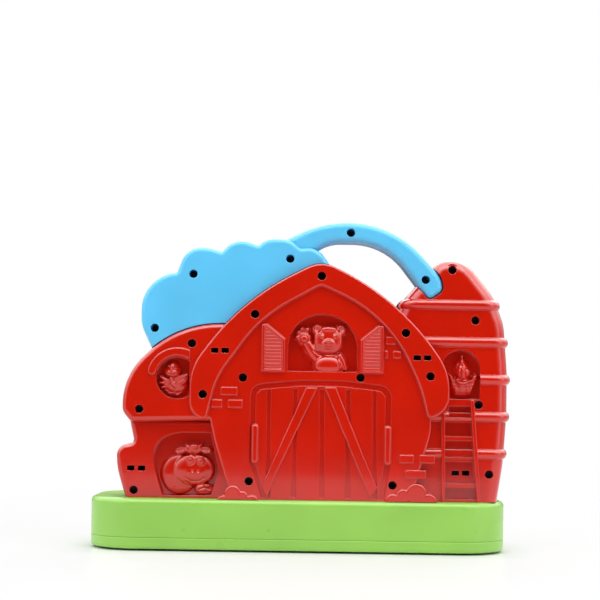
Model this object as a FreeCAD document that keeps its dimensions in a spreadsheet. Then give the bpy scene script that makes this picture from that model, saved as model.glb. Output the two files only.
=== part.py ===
import FreeCAD, Part
import math
import os
import re

# Talking farm toy, in millimetres.
# +Z is up, X runs along the toy, and the play side faces +Y. The screw side faces -Y.
# The origin is the middle of the footprint, on the table.
# A depth is a distance from the origin plane towards the screw side, so y = -depth.

V = FreeCAD.Vector
doc = FreeCAD.newDocument("talking_farm_toy")
sheet = doc.addObject("Spreadsheet::Sheet", "sizes")

SIZES = [
    ("base_half_length", 150.2, "half of the base's length"),
    ("base_half_depth", 50.0, "half of the base's depth"),
    ("base_corner", 36.0, "corner radius of the base in plan"),
    ("base_bottom", 1.4, "underside of the lower tray above the table"),
    ("base_parting", 9.4, "height of the base's parting line"),
    ("base_top", 37.2, "top of the base, where the red shells stand"),
    ("base_round", 4.0, "rounding of the base's upper edge"),
    ("tray_round", 2.0, "rounding of the lower tray's bottom edge"),
    ("parting_round", 0.7, "rounding of both rims at the base's parting line"),
    ("shell_round", 3.5, "rounding of the rims of annex, stable and cloud"),
    ("band_round", 1.5, "rounding of the rims of the roof band and the barn wall"),
    ("handle_round", 4.5, "rounding of the long edges of the handle"),
    ("detail_round", 0.7, "rounding of bricks, shutters and braces"),
    ("wall", 2.4, "wall of the red and green shells"),
    ("thin_wall", 2.2, "wall of the cloud and the handle"),
    ("split_depth", 22.0, "depth of the plane where the shell halves meet"),
    ("barn_face", 46.5, "depth of the barn's back face"),
    ("band_face", 49.5, "depth of the roof band's back face"),
    ("stable_face", 38.5, "depth of the stable's back face"),
    ("silo_face", 40.0, "depth of the silo's back face"),
    ("silo_round", 9.0, "rounding of the silo's long edges"),
    ("ring_proud", 2.2, "how far a silo ring stands out"),
    ("ring_height", 7.5, "height of a silo ring"),
    ("ring_round", 3.4, "rounding of a silo ring's edges"),
    ("barn_front", 10.0, "how far forward of the origin plane the barn's front face is"),
    ("band_front", 12.5, "how far forward the roof band's front face is"),
    ("wing_front", 6.0, "how far forward the front faces of the annex and the silo are"),
    ("cloud_face", 43.5, "depth of the cloud's back face"),
    ("cloud_front_face", 2.0, "depth of the cloud's front face"),
    ("handle_face", 40.5, "depth of the handle's back face"),
    ("handle_front_face", 14.0, "depth of the handle's front face"),
    ("cloud_gap", 0.6, "gap between the cloud and the red shells"),
    ("rest_gap", 0.3, "gap between pieces that lie at rest"),
    ("window_depth", 8.0, "depth of the window and stable recesses"),
    ("ladder_depth", 5.0, "depth of the cells between the ladder's rungs"),
    ("groove_depth", 1.2, "depth of the plank grooves and louvres"),
    ("frame_groove", 1.4, "depth of the groove around the back doors"),
    ("trim_proud", 1.4, "how far bricks, braces and trims stand out"),
    ("bar_proud", 2.5, "how far door bars and ladder rails stand out"),
    ("bush_face", 48.0, "depth of the bushes' faces"),
    ("relief_proud", 5.0, "how far an animal stands out of its recess floor"),
    ("recess_radius", 3.0, "radius of a screw recess"),
    ("boss_radius", 4.6, "radius of a screw boss"),
    ("seat_depth", 26.0, "depth of the seat under a shell screw's head"),
    ("screw_radius", 1.45, "radius of a shell screw's shank"),
    ("screw_head_radius", 2.7, "radius of a shell screw's head"),
    ("screw_head_height", 2.0, "height of a screw's head"),
    ("screw_reach", 10.0, "how far a screw runs into its pilot hole"),
    ("hole_slack", 0.25, "radial slack of a clearance hole"),
    ("pilot_slack", 0.05, "radial slack of a pilot hole"),
    ("shaft_slack", 0.06, "radial slack of a running shaft"),
    ("slot_width", 5.2, "width of a tie slot"),
    ("slot_height", 3.6, "height of a tie slot"),
    ("front_recess", 6.0, "depth of the front doorway and window"),
    ("key_proud", 3.5, "how far a wall key stands out of its wall"),
    ("key_round", 1.0, "rounding of a key's face"),
    ("key_flange", 2.0, "how far a key's flange reaches past its hole"),
    ("flange_thick", 1.6, "thickness of a key's flange"),
    ("stem_radius", 4.0, "radius of a key's stem"),
    ("board_depth", 7.0, "depth of the front face of the circuit boards"),
    ("board_thick", 1.6, "thickness of a circuit board"),
    ("dome_height", 4.0, "height of a silicone switch dome"),
    ("dome_radius", 6.0, "radius of a silicone switch dome"),
    ("dome_skirt", 0.8, "thickness of a dome's skirt"),
    ("small_screw", 1.2, "radius of a board or speaker screw's shank"),
    ("small_head", 2.3, "radius of a board or speaker screw's head"),
    ("leaf_thick", 3.0, "thickness of a door leaf"),
    ("leaf_round", 0.6, "rounding of a door leaf's edges"),
    ("leaf_axis", 13.2, "how far forward the hinge axes are"),
    ("knuckle_radius", 2.8, "radius of a hinge knuckle"),
    ("pin_radius", 1.2, "radius of a hinge pin"),
    ("lug_height", 4.5, "height of a hinge lug"),
    ("wheel_radius", 16.0, "radius of the duck wheel"),
    ("wheel_thick", 4.0, "thickness of the duck wheel"),
    ("axle_radius", 2.0, "radius of the duck wheel's axle"),
    ("speaker_radius", 18.0, "radius of the speaker's rim"),
    ("grille_hole", 1.3, "radius of a speaker grille hole"),
    ("song_radius", 14.0, "radius of a song key"),
    ("song_proud", 3.6, "how far a song key stands out of the base"),
    ("song_round", 1.6, "rounding of a song key's cap"),
    ("song_pitch", 60.0, "distance between song keys"),
    ("song_row", 30.0, "how far forward the row of song keys is"),
    ("song_board_top", 25.6, "height of the song board's upper face"),
    ("cell_radius", 7.15, "radius of a battery cell"),
    ("cell_length", 49.2, "length of a battery cell without its nub"),
    ("nub_length", 1.3, "length of a cell's nub"),
    ("cell_pitch", 15.0, "distance between cells"),
    ("spring_length", 7.5, "length of a battery spring in the closed bay"),
    ("plate_thick", 0.5, "thickness of a battery contact plate"),
    ("cell_slack", 0.45, "gap between the outer cells and the bay's sides"),
    ("bay_height", 17.6, "height of the battery bay above the tray's underside"),
    ("bay_wall", 2.5, "ledge between the bay and its door seat"),
    ("door_thick", 1.8, "thickness of the battery door"),
    ("foot_radius", 8.0, "radius of a rubber foot"),
    ("foot_sunk", 0.8, "how deep a foot sits in its recess"),
    ("tenon_depth", 6.0, "half thickness of the tenons that lock cloud and handle"),
]
for row, (alias, value, note) in enumerate(SIZES, start=1):
    sheet.set(f"A{row}", note)
    sheet.set(f"B{row}", str(value))
    sheet.setAlias(f"B{row}", alias)
doc.recompute()


class Values:
    """The sheet's cells, read by alias."""

    def __getattr__(self, alias):
        return float(sheet.get(alias))


size = Values()

# Outlines as corners (x, z, rounding radius), seen from the screw side

BAND = [
    (14.3, 207.0, 22), (70.4, 182.1, 180), (106.2, 129.2, 41), (106.2, 100.0, 17), (91.2, 96.0, 3.5),
    (86.1, 117.2, 100), (62.4, 167.9, 100), (14.4, 189.8, 6), (-26.9, 166.9, 99), (-58.8, 123.0, 60),
    (-65.6, 93.1, 3.5), (-77.6, 96.4, 14), (-77.6, 129.8, 39), (-40.1, 180.0, 172),
]
BARN = [
    (14.3, 206.6, 22), (70.2, 181.8, 180), (105.8, 129.2, 41), (105.8, 100.2, 17), (93.8, 96.4, 1),
    (93.8, 86.0, 30), (80.2, 37.2, 0), (-47.0, 37.2, 0), (-59.5, 77.5, 80), (-63.2, 94.0, 1),
    (-77.2, 96.6, 14), (-77.2, 129.7, 39), (-39.9, 179.7, 172),
]
ANNEX = [
    (-104.6, 143.7, 30), (-83.1, 161.4, 77), (-45.0, 161.4, 0), (-45.0, 93.3, 0),
    (-119.4, 91.2, 5), (-125.3, 98.6, 8), (-125.3, 123.9, 47),
]
STABLE = [
    (-120.8, 92.3, 0), (-117.3, 76.0, 3), (-129.8, 73.8, 8), (-129.8, 58.9, 45), (-123.4, 37.2, 0),
    (-40.0, 37.2, 0), (-40.0, 92.3, 0),
]
SILO = [
    (142.8, 37.2, 0), (146.8, 64.0, 100), (148.9, 100.0, 150), (148.8, 130.0, 120), (145.8, 165.0, 40),
    (138.2, 184.0, 40), (117.6, 209.9, 20), (99.2, 209.9, 13), (73.8, 181.0, 30), (67.5, 165.0, 30), (67.5, 37.2, 0),
]
CLOUD_TOP = [
    (-101.8, 136.0, 0), (-113.1, 160.0, 24), (-113.1, 183.6, 26), (-98.0, 196.0, 26), (-88.0, 198.0, 2),
    (-81.4, 215.8, 15), (-66.0, 215.8, 24), (-56.4, 212.9, 1.5), (-48.9, 220.8, 14), (-40.0, 220.8, 16),
    (-30.3, 217.9, 1.5), (-24.4, 222.9, 14), (-8.6, 222.6, 16), (-0.3, 216.3, 1.5), (7.6, 216.9, 9),
    (14.4, 213.2, 10), (25.2, 198.6, 0),
]
HANDLE_RIGHT = [
    (18.0, 221.7, 28), (59.7, 221.7, 46), (91.5, 180.6, 4), (101.3, 187.2, 5), (101.3, 196.0, 16),
    (65.1, 235.6, 72), (15.0, 235.6, 81), (-26.0, 215.2, 10),
]
BEAR_WINDOW = [(-8.8, 128.6, 1), (40.8, 128.6, 1), (40.8, 169.2, 24.7), (-8.8, 169.2, 24.7)]
HEN_WINDOW = [(101.0, 110.6, 1), (128.6, 110.6, 1), (128.6, 145.6, 13.7), (101.0, 145.6, 13.7)]
STABLE_RECESS = [
    (-62.6, 84.0, 1), (-84.0, 84.0, 40), (-103.4, 80.0, 16), (-103.4, 61.0, 40), (-96.6, 38.6, 1.5),
    (-62.0, 39.6, 1.5), (-56.6, 57.0, 6),
]
LEFT_SHUTTER = [(-27.2, 128.0, 0.5), (-10.5, 128.0, 0.5), (-10.5, 151.0, 3), (-23.4, 161.6, 1), (-27.2, 161.6, 0.5)]
RIGHT_SHUTTER = [(42.8, 127.7, 0.5), (59.4, 127.7, 0.5), (59.4, 161.5, 0.5), (55.2, 161.5, 1), (42.8, 151.0, 3)]
FRAME_OUTER = [(-25.4, 38.4, 0.5), (-34.5, 64.0, 4), (-34.5, 118.6, 9), (1.0, 122.3, 60), (30.0, 122.3, 60),
               (65.3, 118.6, 9), (65.3, 64.0, 4), (60.9, 38.4, 0.5)]
FRAME_INNER = [(-23.0, 38.4, 0.5), (-30.6, 64.0, 4), (-30.6, 115.0, 6), (1.0, 118.2, 60), (30.0, 118.2, 60),
               (61.1, 115.0, 6), (61.1, 64.0, 4), (56.4, 38.4, 0.5)]
PLANKS = [  # x at the top and at the bottom, left and right of each groove
    (-22.9, -20.1, -22.4, -19.6), (-4.1, -1.0, -4.6, -1.6), (14.3, 17.9, 15.5, 18.7),
    (33.2, 36.3, 33.5, 37.1), (51.8, 54.7, 53.0, 55.9),
]
BRACES = [
    [(4.9, 117.1, 0), (12.8, 117.1, 0), (-15.7, 55.6, 9), (-21.8, 38.5, 0), (-25.2, 46.0, 0), (-23.3, 52.0, 9)],
    [(17.9, 117.5, 0), (25.9, 117.5, 0), (46.0, 69.2, 9), (56.0, 46.8, 0), (51.0, 39.4, 0), (37.0, 72.6, 9)],
]
DOOR_BARS = [(-33.4, 63.0, -28.3, 90.9), (60.5, 63.0, 65.7, 90.9)]
BRICKS = [
    (-55.8, 110.9, -43.8, 116.7), (-62.2, 102.0, -54.3, 107.8), (-50.4, 102.0, -39.9, 107.8),
    (60.8, 148.4, 68.0, 153.8), (59.7, 138.5, 62.3, 144.0), (66.0, 138.7, 71.6, 143.8), (71.5, 64.5, 81.7, 70.5),
]
EDGE_BRICKS = [(85.6, 64.6, 96.6, 70.5), (75.8, 53.8, 90.6, 59.8)]
BUSH_RIGHT = [(67.3, 37.1, 5.6), (74.8, 41.2, 5.0), (83.8, 42.8, 7.5), (92.6, 36.9, 6.2)]  # lobes: x, z, radius
BUSH_LEFT = [(-52.6, 35.2, 5.0), (-46.1, 41.3, 5.7), (-39.4, 38.7, 4.5), (-32.4, 35.5, 5.0)]
RAILS = [
    [(101.2, 100.4, 1), (104.0, 100.4, 1), (105.0, 37.2, 0), (102.2, 37.2, 0)],
    [(121.7, 110.3, 1), (124.4, 110.3, 1), (130.5, 37.2, 0), (127.5, 37.2, 0)],
]
RUNG_LEVELS = [38.0, 48.8, 67.5, 82.4, 95.8, 107.0]
RING_LEVELS = [71.6, 98.1, 124.6, 151.1, 177.6]
DUCK_WINDOW = (-86.5, 122.6, 14.7)
DUCK_TRIM = (16.0, 21.5, 165.0)
BAND_LEFT = -77.6

# Screw places (x, z), and pairs of tie slots with the depth alias of their wall

WALL_SCREWS = [
    (14.7, 196.1), (-32.0, 168.4), (74.7, 156.7), (92.5, 126.3), (-68.1, 111.4), (-40.1, 123.6), (43.3, 124.7),
    (-34.8, 50.2), (67.0, 48.8), (-76.5, 147.3), (-113.2, 100.3),
]
STABLE_SCREWS = [(-117.2, 42.4)]
SILO_SCREWS = [(107.8, 202.6), (124.8, 166.8), (128.0, 106.7), (136.1, 57.1)]
THROUGH_SCREW = (-7.8, 208.5)
CLOUD_SCREWS = [(-76.4, 196.8), (-103.3, 158.0), THROUGH_SCREW]
HANDLE_SCREW = (35.1, 228.0)
HANDLE_END_SCREW = (88.9, 195.2)
TIE_SLOTS = {
    "band": [(-60.1, 142.4), (-52.7, 142.5), (82.9, 139.2), (90.2, 139.3)],
    "stable": [(-119.4, 58.0), (-111.7, 58.0)],
    "ladder": [(112.5, 57.6), (120.0, 57.7)],
}


def direction(start, end):
    """Unit vector and length from one corner to the next."""
    dx, dz = end[0] - start[0], end[1] - start[1]
    length = math.hypot(dx, dz)
    return dx / length, dz / length, length


def corner_facts(corners):
    """For each corner: the way in, the way out and the signed turn."""
    facts = []
    count = len(corners)
    for i, corner in enumerate(corners):
        way_in = direction(corners[i - 1], corner)
        way_out = direction(corner, corners[(i + 1) % count])
        turn = math.atan2(way_in[0] * way_out[1] - way_in[1] * way_out[0],
                          way_in[0] * way_out[0] + way_in[1] * way_out[1])
        facts.append((way_in, way_out, turn))
    return facts


def outline(corners):
    """Lines and tangent arcs of a closed outline. A rounding is limited by the sides it lies on."""
    facts = corner_facts(corners)
    count = len(corners)
    reach = [corner[2] * math.tan(abs(fact[2]) / 2) for corner, fact in zip(corners, facts)]
    room = []
    for i in range(count):
        before = facts[i][0][2] / max(reach[i - 1] + reach[i], 1e-9)
        after = facts[i][1][2] / max(reach[i] + reach[(i + 1) % count], 1e-9)
        room.append(min(1.0, before, after))
    reach = [length * share for length, share in zip(reach, room)]
    edges = []
    ends = []
    for corner, fact, length in zip(corners, facts, reach):
        way_in, way_out, turn = fact
        start = V(corner[0] - way_in[0] * length, corner[1] - way_in[1] * length, 0)
        end = V(corner[0] + way_out[0] * length, corner[1] + way_out[1] * length, 0)
        if length > 0.01:
            radius = length / math.tan(abs(turn) / 2)
            side = 1 if turn > 0 else -1
            centre = V(start.x - side * way_in[1] * radius, start.y + side * way_in[0] * radius, 0)
            inward = V(corner[0], corner[1], 0) - centre
            middle = centre + inward * (radius / inward.Length)
            edges.append(Part.Arc(start, middle, end))
        else:
            start = V(corner[0], corner[1], 0)
            end = start
        ends.append((start, end))
    for i in range(count):
        start = ends[i][1]
        end = ends[(i + 1) % count][0]
        if (end - start).Length > 1e-4:
            edges.append(Part.LineSegment(start, end))
    return edges


def grown(corners, amount):
    """The outline's corners moved outwards by amount, or inwards where it is negative."""
    count = len(corners)
    area = sum(corners[i - 1][0] * corners[i][1] - corners[i][0] * corners[i - 1][1] for i in range(count))
    side = 1 if area > 0 else -1
    moved = []
    for corner, fact in zip(corners, corner_facts(corners)):
        way_in, way_out, turn = fact
        first = (way_in[1] * side, -way_in[0] * side)
        second = (way_out[1] * side, -way_out[0] * side)
        share = amount / (1 + first[0] * second[0] + first[1] * second[1])
        radius = corner[2] + amount if turn * side > 0 else corner[2] - amount
        moved.append((corner[0] + share * (first[0] + second[0]), corner[1] + share * (first[1] + second[1]),
                      max(radius, 0) if corner[2] else 0))
    return moved


def flat_face(edges):
    return Part.Face(Part.Wire(Part.__sortEdges__([edge.toShape() for edge in edges])))


def trimmed(corners, gap):
    """Edges of an outline with the roof and the annex cut away from it, a gap apart."""
    left = flat_face(outline(corners)).cut([flat_face(outline(grown(form, gap))) for form in (BAND, BARN, ANNEX)])
    edges = []
    for edge in max(left.Faces, key=lambda face: face.Area).OuterWire.Edges:
        start, end = edge.Vertexes[0].Point, edge.Vertexes[-1].Point
        middle = edge.valueAt((edge.FirstParameter + edge.LastParameter) / 2)
        straight = isinstance(edge.Curve, (Part.Line, Part.LineSegment))
        edges.append(Part.LineSegment(start, end) if straight else Part.Arc(start, middle, end))
    return edges


def circle(x, z, radius):
    return [Part.Circle(V(x, z, 0), V(0, 0, 1), radius)]


def box(x0, z0, x1, z1, radius=0.0):
    return outline([(x0, z0, radius), (x1, z0, radius), (x1, z1, radius), (x0, z1, radius)])


def tenon(x, z, angle, width, below, above):
    """Corners of a tongue along a wall at an angle, reaching below and above the wall line."""
    cos, sin = math.cos(math.radians(angle)), math.sin(math.radians(angle))
    corners = [(-width / 2, -below), (width / 2, -below), (width / 2, above), (-width / 2, above)]
    return [(x + u * cos - w * sin, z + u * sin + w * cos, 0) for u, w in corners]


def bind(item, place, words):
    """Tie a property to the sheet: every name in words is a cell's alias."""
    item.setExpression(place, re.sub(r"[a-z][a-z0-9_]*", lambda found: "sizes." + found.group(), words))


def new_body(label):
    body = doc.addObject("PartDesign::Body", label)
    body.Label = label
    body.AllowCompound = True
    return body


def step(kind, body, name, loops, level, length, ahead=True, role="XZ_Plane"):
    """One pad or pocket from a sketch at a level. Ahead is along the sketch's normal:
    towards the screw side on XZ, up on XY and towards +X on YZ."""
    sketch = body.newObject("Sketcher::SketchObject", f"{body.Name}_{name}_sketch")
    support = [plane for plane in body.Origin.OriginFeatures if plane.Role == role][0]
    sketch.AttachmentSupport = [(support, "")]
    sketch.MapMode = "FlatFace"
    bind(sketch, "AttachmentOffset.Base.z", level)
    sketch.addGeometry([edge for loop in loops for edge in loop], False)
    feature = body.newObject("PartDesign::" + kind, f"{body.Name}_{name}")
    feature.Profile = sketch
    bind(feature, "Length", length)
    feature.Reversed = ahead if kind == "Pocket" else not ahead
    return feature


def pad(body, name, loops, level, length, ahead=True, role="XZ_Plane"):
    return step("Pad", body, name, loops, level, length, ahead, role)


def pocket(body, name, loops, level, length, ahead=True, role="XZ_Plane"):
    return step("Pocket", body, name, loops, level, length, ahead, role)


def round_edges(body, name, radius, chosen):
    """Fillet the edges of the body's last feature that the test picks."""
    doc.recompute()
    last = body.Tip
    names = [f"Edge{i}" for i, edge in enumerate(last.Shape.Edges, start=1) if chosen(edge)]
    fillet = body.newObject("PartDesign::Fillet", f"{body.Name}_{name}")
    fillet.Base = (last, names)
    bind(fillet, "Radius", radius)
    return fillet


def slab(edges, start, end):
    """Solid between two depths whose section is the closed outline."""
    face = flat_face(edges)
    face.rotate(V(0, 0, 0), V(1, 0, 0), 90)
    face.translate(V(0, -start, 0))
    return face.extrude(V(0, start - end, 0))


def round_rim(solid, end, radius):
    """The solid with its rim at a depth rounded, apart from edges that stand on the base."""
    def on_rim(edge):
        found = edge.BoundBox
        flat = max(abs(found.YMin + end), abs(found.YMax + end)) < 0.01
        return flat and found.ZMax > size.base_top + 0.1
    return solid.makeFillet(radius, [edge for edge in solid.Edges if on_rim(edge)])


def rounded_slab(edges, start, end, radius):
    """Slab whose rim on the far face is rounded."""
    return round_rim(slab(edges, start, end), end, radius)


def post(x, y, radius, low, high):
    """Upright round solid."""
    return Part.makeCylinder(radius, high - low, V(x, y, low))


def blob(x, z, depth, half_x, half_z, proud, lean=0.0):
    """Half an ellipsoid standing proud of a floor at a depth, sunk a little, leaning about Y."""
    sunk = 0.5
    lump = Part.makeSphere(1.0, V(0, 0, 0), V(0, -1, 0), 0, 90, 360)
    scale = FreeCAD.Matrix()
    scale.scale(half_x, proud + sunk, half_z)
    lump = lump.transformGeometry(scale)
    lump.rotate(V(0, 0, 0), V(0, 1, 0), lean)
    lump.translate(V(x, sunk - depth, z))
    return lump


def moulding(label, shape):
    """A sub-part whose many fused lumps are made in code from the sheet's values."""
    feature = doc.addObject("Part::Feature", label)
    feature.Label = label
    feature.Shape = shape
    feature.Placement = FreeCAD.Placement()
    return feature


# Red shells: barn, roof band, annex, stable and silo in one moulding on each side of the split

NOTCH_BLOCK = [(83.0, 180.0, 0), (86.0, 176.0, 1), (104.0, 182.0, 3), (106.0, 192.0, 3), (106.0, 202.0, 3),
               (97.4, 206.0, 1)]
ROOF_ANGLE = 26.2
LEG_TENON = (-19.0, 190.0)
CLOUD_TENON = (-72.0, 161.8)
FOOT_SCREWS_BACK = [(-15.0, -32.0), (45.0, -32.0)]
FOOT_SCREWS_FRONT = [(-95.0, -10.0), (112.0, -10.0)]
DUCK_X, DUCK_Z, DUCK_RADIUS = DUCK_WINDOW
ALL_SCREWS = WALL_SCREWS + STABLE_SCREWS + SILO_SCREWS
RUNG_HALF = 1.5
LOUVRE_PITCH = 2.85
LOUVRE_GAP = 1.1
LOUVRES = 9


def tongues(grow):
    """Outlines of the tongues that the roof and the annex hold, grown by a clearance."""
    leg = grown(tenon(*LEG_TENON, ROOF_ANGLE, 10.0, 5.0, 4.0), grow)
    cloud = grown(tenon(*CLOUD_TENON, 0.0, 12.0, 6.0, 4.0), grow)
    return outline(leg), outline(cloud)


def silo_rings(face):
    """Rings that follow the silo's rounded section, from the split to beyond its face."""
    away = 1 if face > size.split_depth else -1
    proud = size.ring_proud
    larger = rounded_slab(outline(grown(SILO, proud)), size.split_depth, face + away * proud, size.silo_round + proud)
    bounds = larger.BoundBox
    rings = []
    for level in RING_LEVELS:
        low, high = level - size.ring_height / 2, level + size.ring_height / 2
        ring = larger.common(Part.makeBox(bounds.XLength, bounds.YLength, size.ring_height,
                                          V(bounds.XMin, bounds.YMin, low)))

        def on_rim(edge):
            found = edge.BoundBox
            level_edge = found.ZLength < 0.01 and min(abs(found.ZMin - low), abs(found.ZMin - high)) < 0.01
            at_split = abs(found.YMin + size.split_depth) < 0.01 and abs(found.YMax + size.split_depth) < 0.01
            return level_edge and not at_split
        rings.append(ring.makeFillet(size.ring_round, [edge for edge in ring.Edges if on_rim(edge)]))
    return rings


def hollow_shell(silo, annex, stable, barn, band):
    """Outer forms of a half shell whose far faces lie at the given depths, hollow from the split."""
    split, wall = size.split_depth, size.wall
    away = 1 if silo > split else -1
    solid = rounded_slab(outline(SILO), split, silo, size.silo_round).fuse(
        silo_rings(silo)
        + [rounded_slab(outline(STABLE), split, stable, size.shell_round),
           rounded_slab(outline(ANNEX), split, annex, size.shell_round),
           rounded_slab(outline(BARN), split, barn, size.band_round),
           rounded_slab(outline(BAND), split, band, size.band_round)])
    deep = -wall - size.silo_round / 2
    inside = slab(outline(grown(SILO, -wall)), split, silo - away * size.silo_round).fuse(
        [slab(outline(grown(SILO, deep)), split, silo - away * wall),
         slab(outline(grown(ANNEX, -wall)), split, annex - away * wall),
         slab(outline(grown(STABLE, -wall)), split, stable - away * wall),
         slab(outline(grown(BARN, -wall)), split, barn - away * wall)])
    return solid.cut(inside)


def duck_outline(radius, edge):
    """Round window cut off by the roof band's edge."""
    rise = math.sqrt(radius ** 2 - (edge - DUCK_X) ** 2)
    top, bottom = V(edge, DUCK_Z + rise, 0), V(edge, DUCK_Z - rise, 0)
    return [Part.Arc(top, V(DUCK_X - radius, DUCK_Z, 0), bottom), Part.LineSegment(bottom, top)]


def duck_trim():
    """Raised arc over the round window, from the band's edge to a rounded end."""
    inner, outer, end = DUCK_TRIM

    def at(radius, angle):
        return V(DUCK_X + radius * math.cos(angle), DUCK_Z + radius * math.sin(angle), 0)
    last = math.radians(end)
    inner_start, outer_start = (math.acos((BAND_LEFT - DUCK_X) / radius) for radius in (inner, outer))
    cap = at((inner + outer) / 2, last) + V(-math.sin(last), math.cos(last), 0) * ((outer - inner) / 2)
    return [
        Part.Arc(at(outer, outer_start), at(outer, (outer_start + last) / 2), at(outer, last)),
        Part.Arc(at(outer, last), cap, at(inner, last)),
        Part.Arc(at(inner, last), at(inner, (inner_start + last) / 2), at(inner, inner_start)),
        Part.LineSegment(at(inner, inner_start), at(outer, outer_start)),
    ]


def rail_left(z):
    return 106.8 if z > 100.4 else 105.0 - (z - 37.2) * 0.016


def rail_right(z):
    return 127.5 - (z - 37.2) * 0.0793


def ladder_cell(low, high):
    """The gap between two rungs, between the rails and clear of the roof band."""
    return [(rail_left(high), low, 0), (rail_right(low), low, 0), (rail_right(high), high, 0),
            (rail_left(high), high, 0)]


def louvre_slots():
    """Grooves between the louvres of both relief shutters, shorter beside their sloping tops."""
    slots = []
    for left, right, low in ((-25.1, -12.3, 129.7), (44.2, 56.9, 131.6)):
        for i in range(LOUVRES):
            z = low + i * LOUVRE_PITCH
            short = max(0.0, z + LOUVRE_GAP - 149.0) * 1.1
            on_left = left < 0
            slots.append(box(left if on_left else left + short, z, right - short if on_left else right, z + LOUVRE_GAP))
    return slots


def bush(lobes, start, end, radius):
    """Lobes that stand on the base as one lump, rounded along its rim."""
    lump = slab(circle(*lobes[0]), start, end)
    lump = lump.fuse([slab(circle(*lobe), start, end) for lobe in lobes[1:]]).removeSplitter()
    bounds = lump.BoundBox
    lump = lump.cut(Part.makeBox(bounds.XLength, bounds.YLength, size.base_top - bounds.ZMin,
                                 V(bounds.XMin, bounds.YMin, bounds.ZMin)))
    return round_rim(lump, end, radius)


def inner_rings(floor):
    """The two silo rings that cross the ladder, seen between its rungs."""
    reach = size.ring_height / 2
    return [rounded_slab(box(rail_left(level) - 1, level - reach, rail_right(level) + 1, level + reach),
                         floor - size.wall / 2, floor + size.ring_proud, size.ring_round / 2)
            for level in RING_LEVELS[:2]]


def slot_box(x, z):
    half, rise = size.slot_width / 2, size.slot_height / 2
    return box(x - half, z - rise, x + half, z + rise, 0.6)


def relief_animals():
    """Lumps on the recess floors of the screw side: bear, duck, hen and pig."""
    proud = size.relief_proud
    window = size.barn_face - size.window_depth
    silo = size.silo_face - size.window_depth
    stable = size.stable_face - size.window_depth
    return [
        blob(20.1, 151.1, window, 10.5, 9.5, proud), blob(12.4, 158.6, window, 3.6, 3.6, proud * 0.7),
        blob(27.8, 158.6, window, 3.6, 3.6, proud * 0.7), blob(21.5, 135.0, window, 12.0, 9.0, proud),
        blob(2.8, 151.6, window, 4.6, 5.2, proud * 0.9), blob(7.2, 142.4, window, 4.4, 9.0, proud * 0.8, -38.0),
        blob(-90.2, 130.0, window, 4.8, 4.8, proud * 0.9), blob(-86.8, 118.0, window, 8.0, 7.0, proud),
        blob(115.8, 132.4, silo, 5.2, 7.4, proud * 0.9), blob(116.2, 119.4, silo, 8.6, 7.4, proud),
        blob(-73.5, 57.7, stable, 12.8, 10.6, proud), blob(-85.4, 55.0, stable, 13.4, 13.0, proud * 0.8),
        blob(-70.0, 44.6, stable, 5.0, 3.2, proud * 0.7),
    ]


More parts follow.
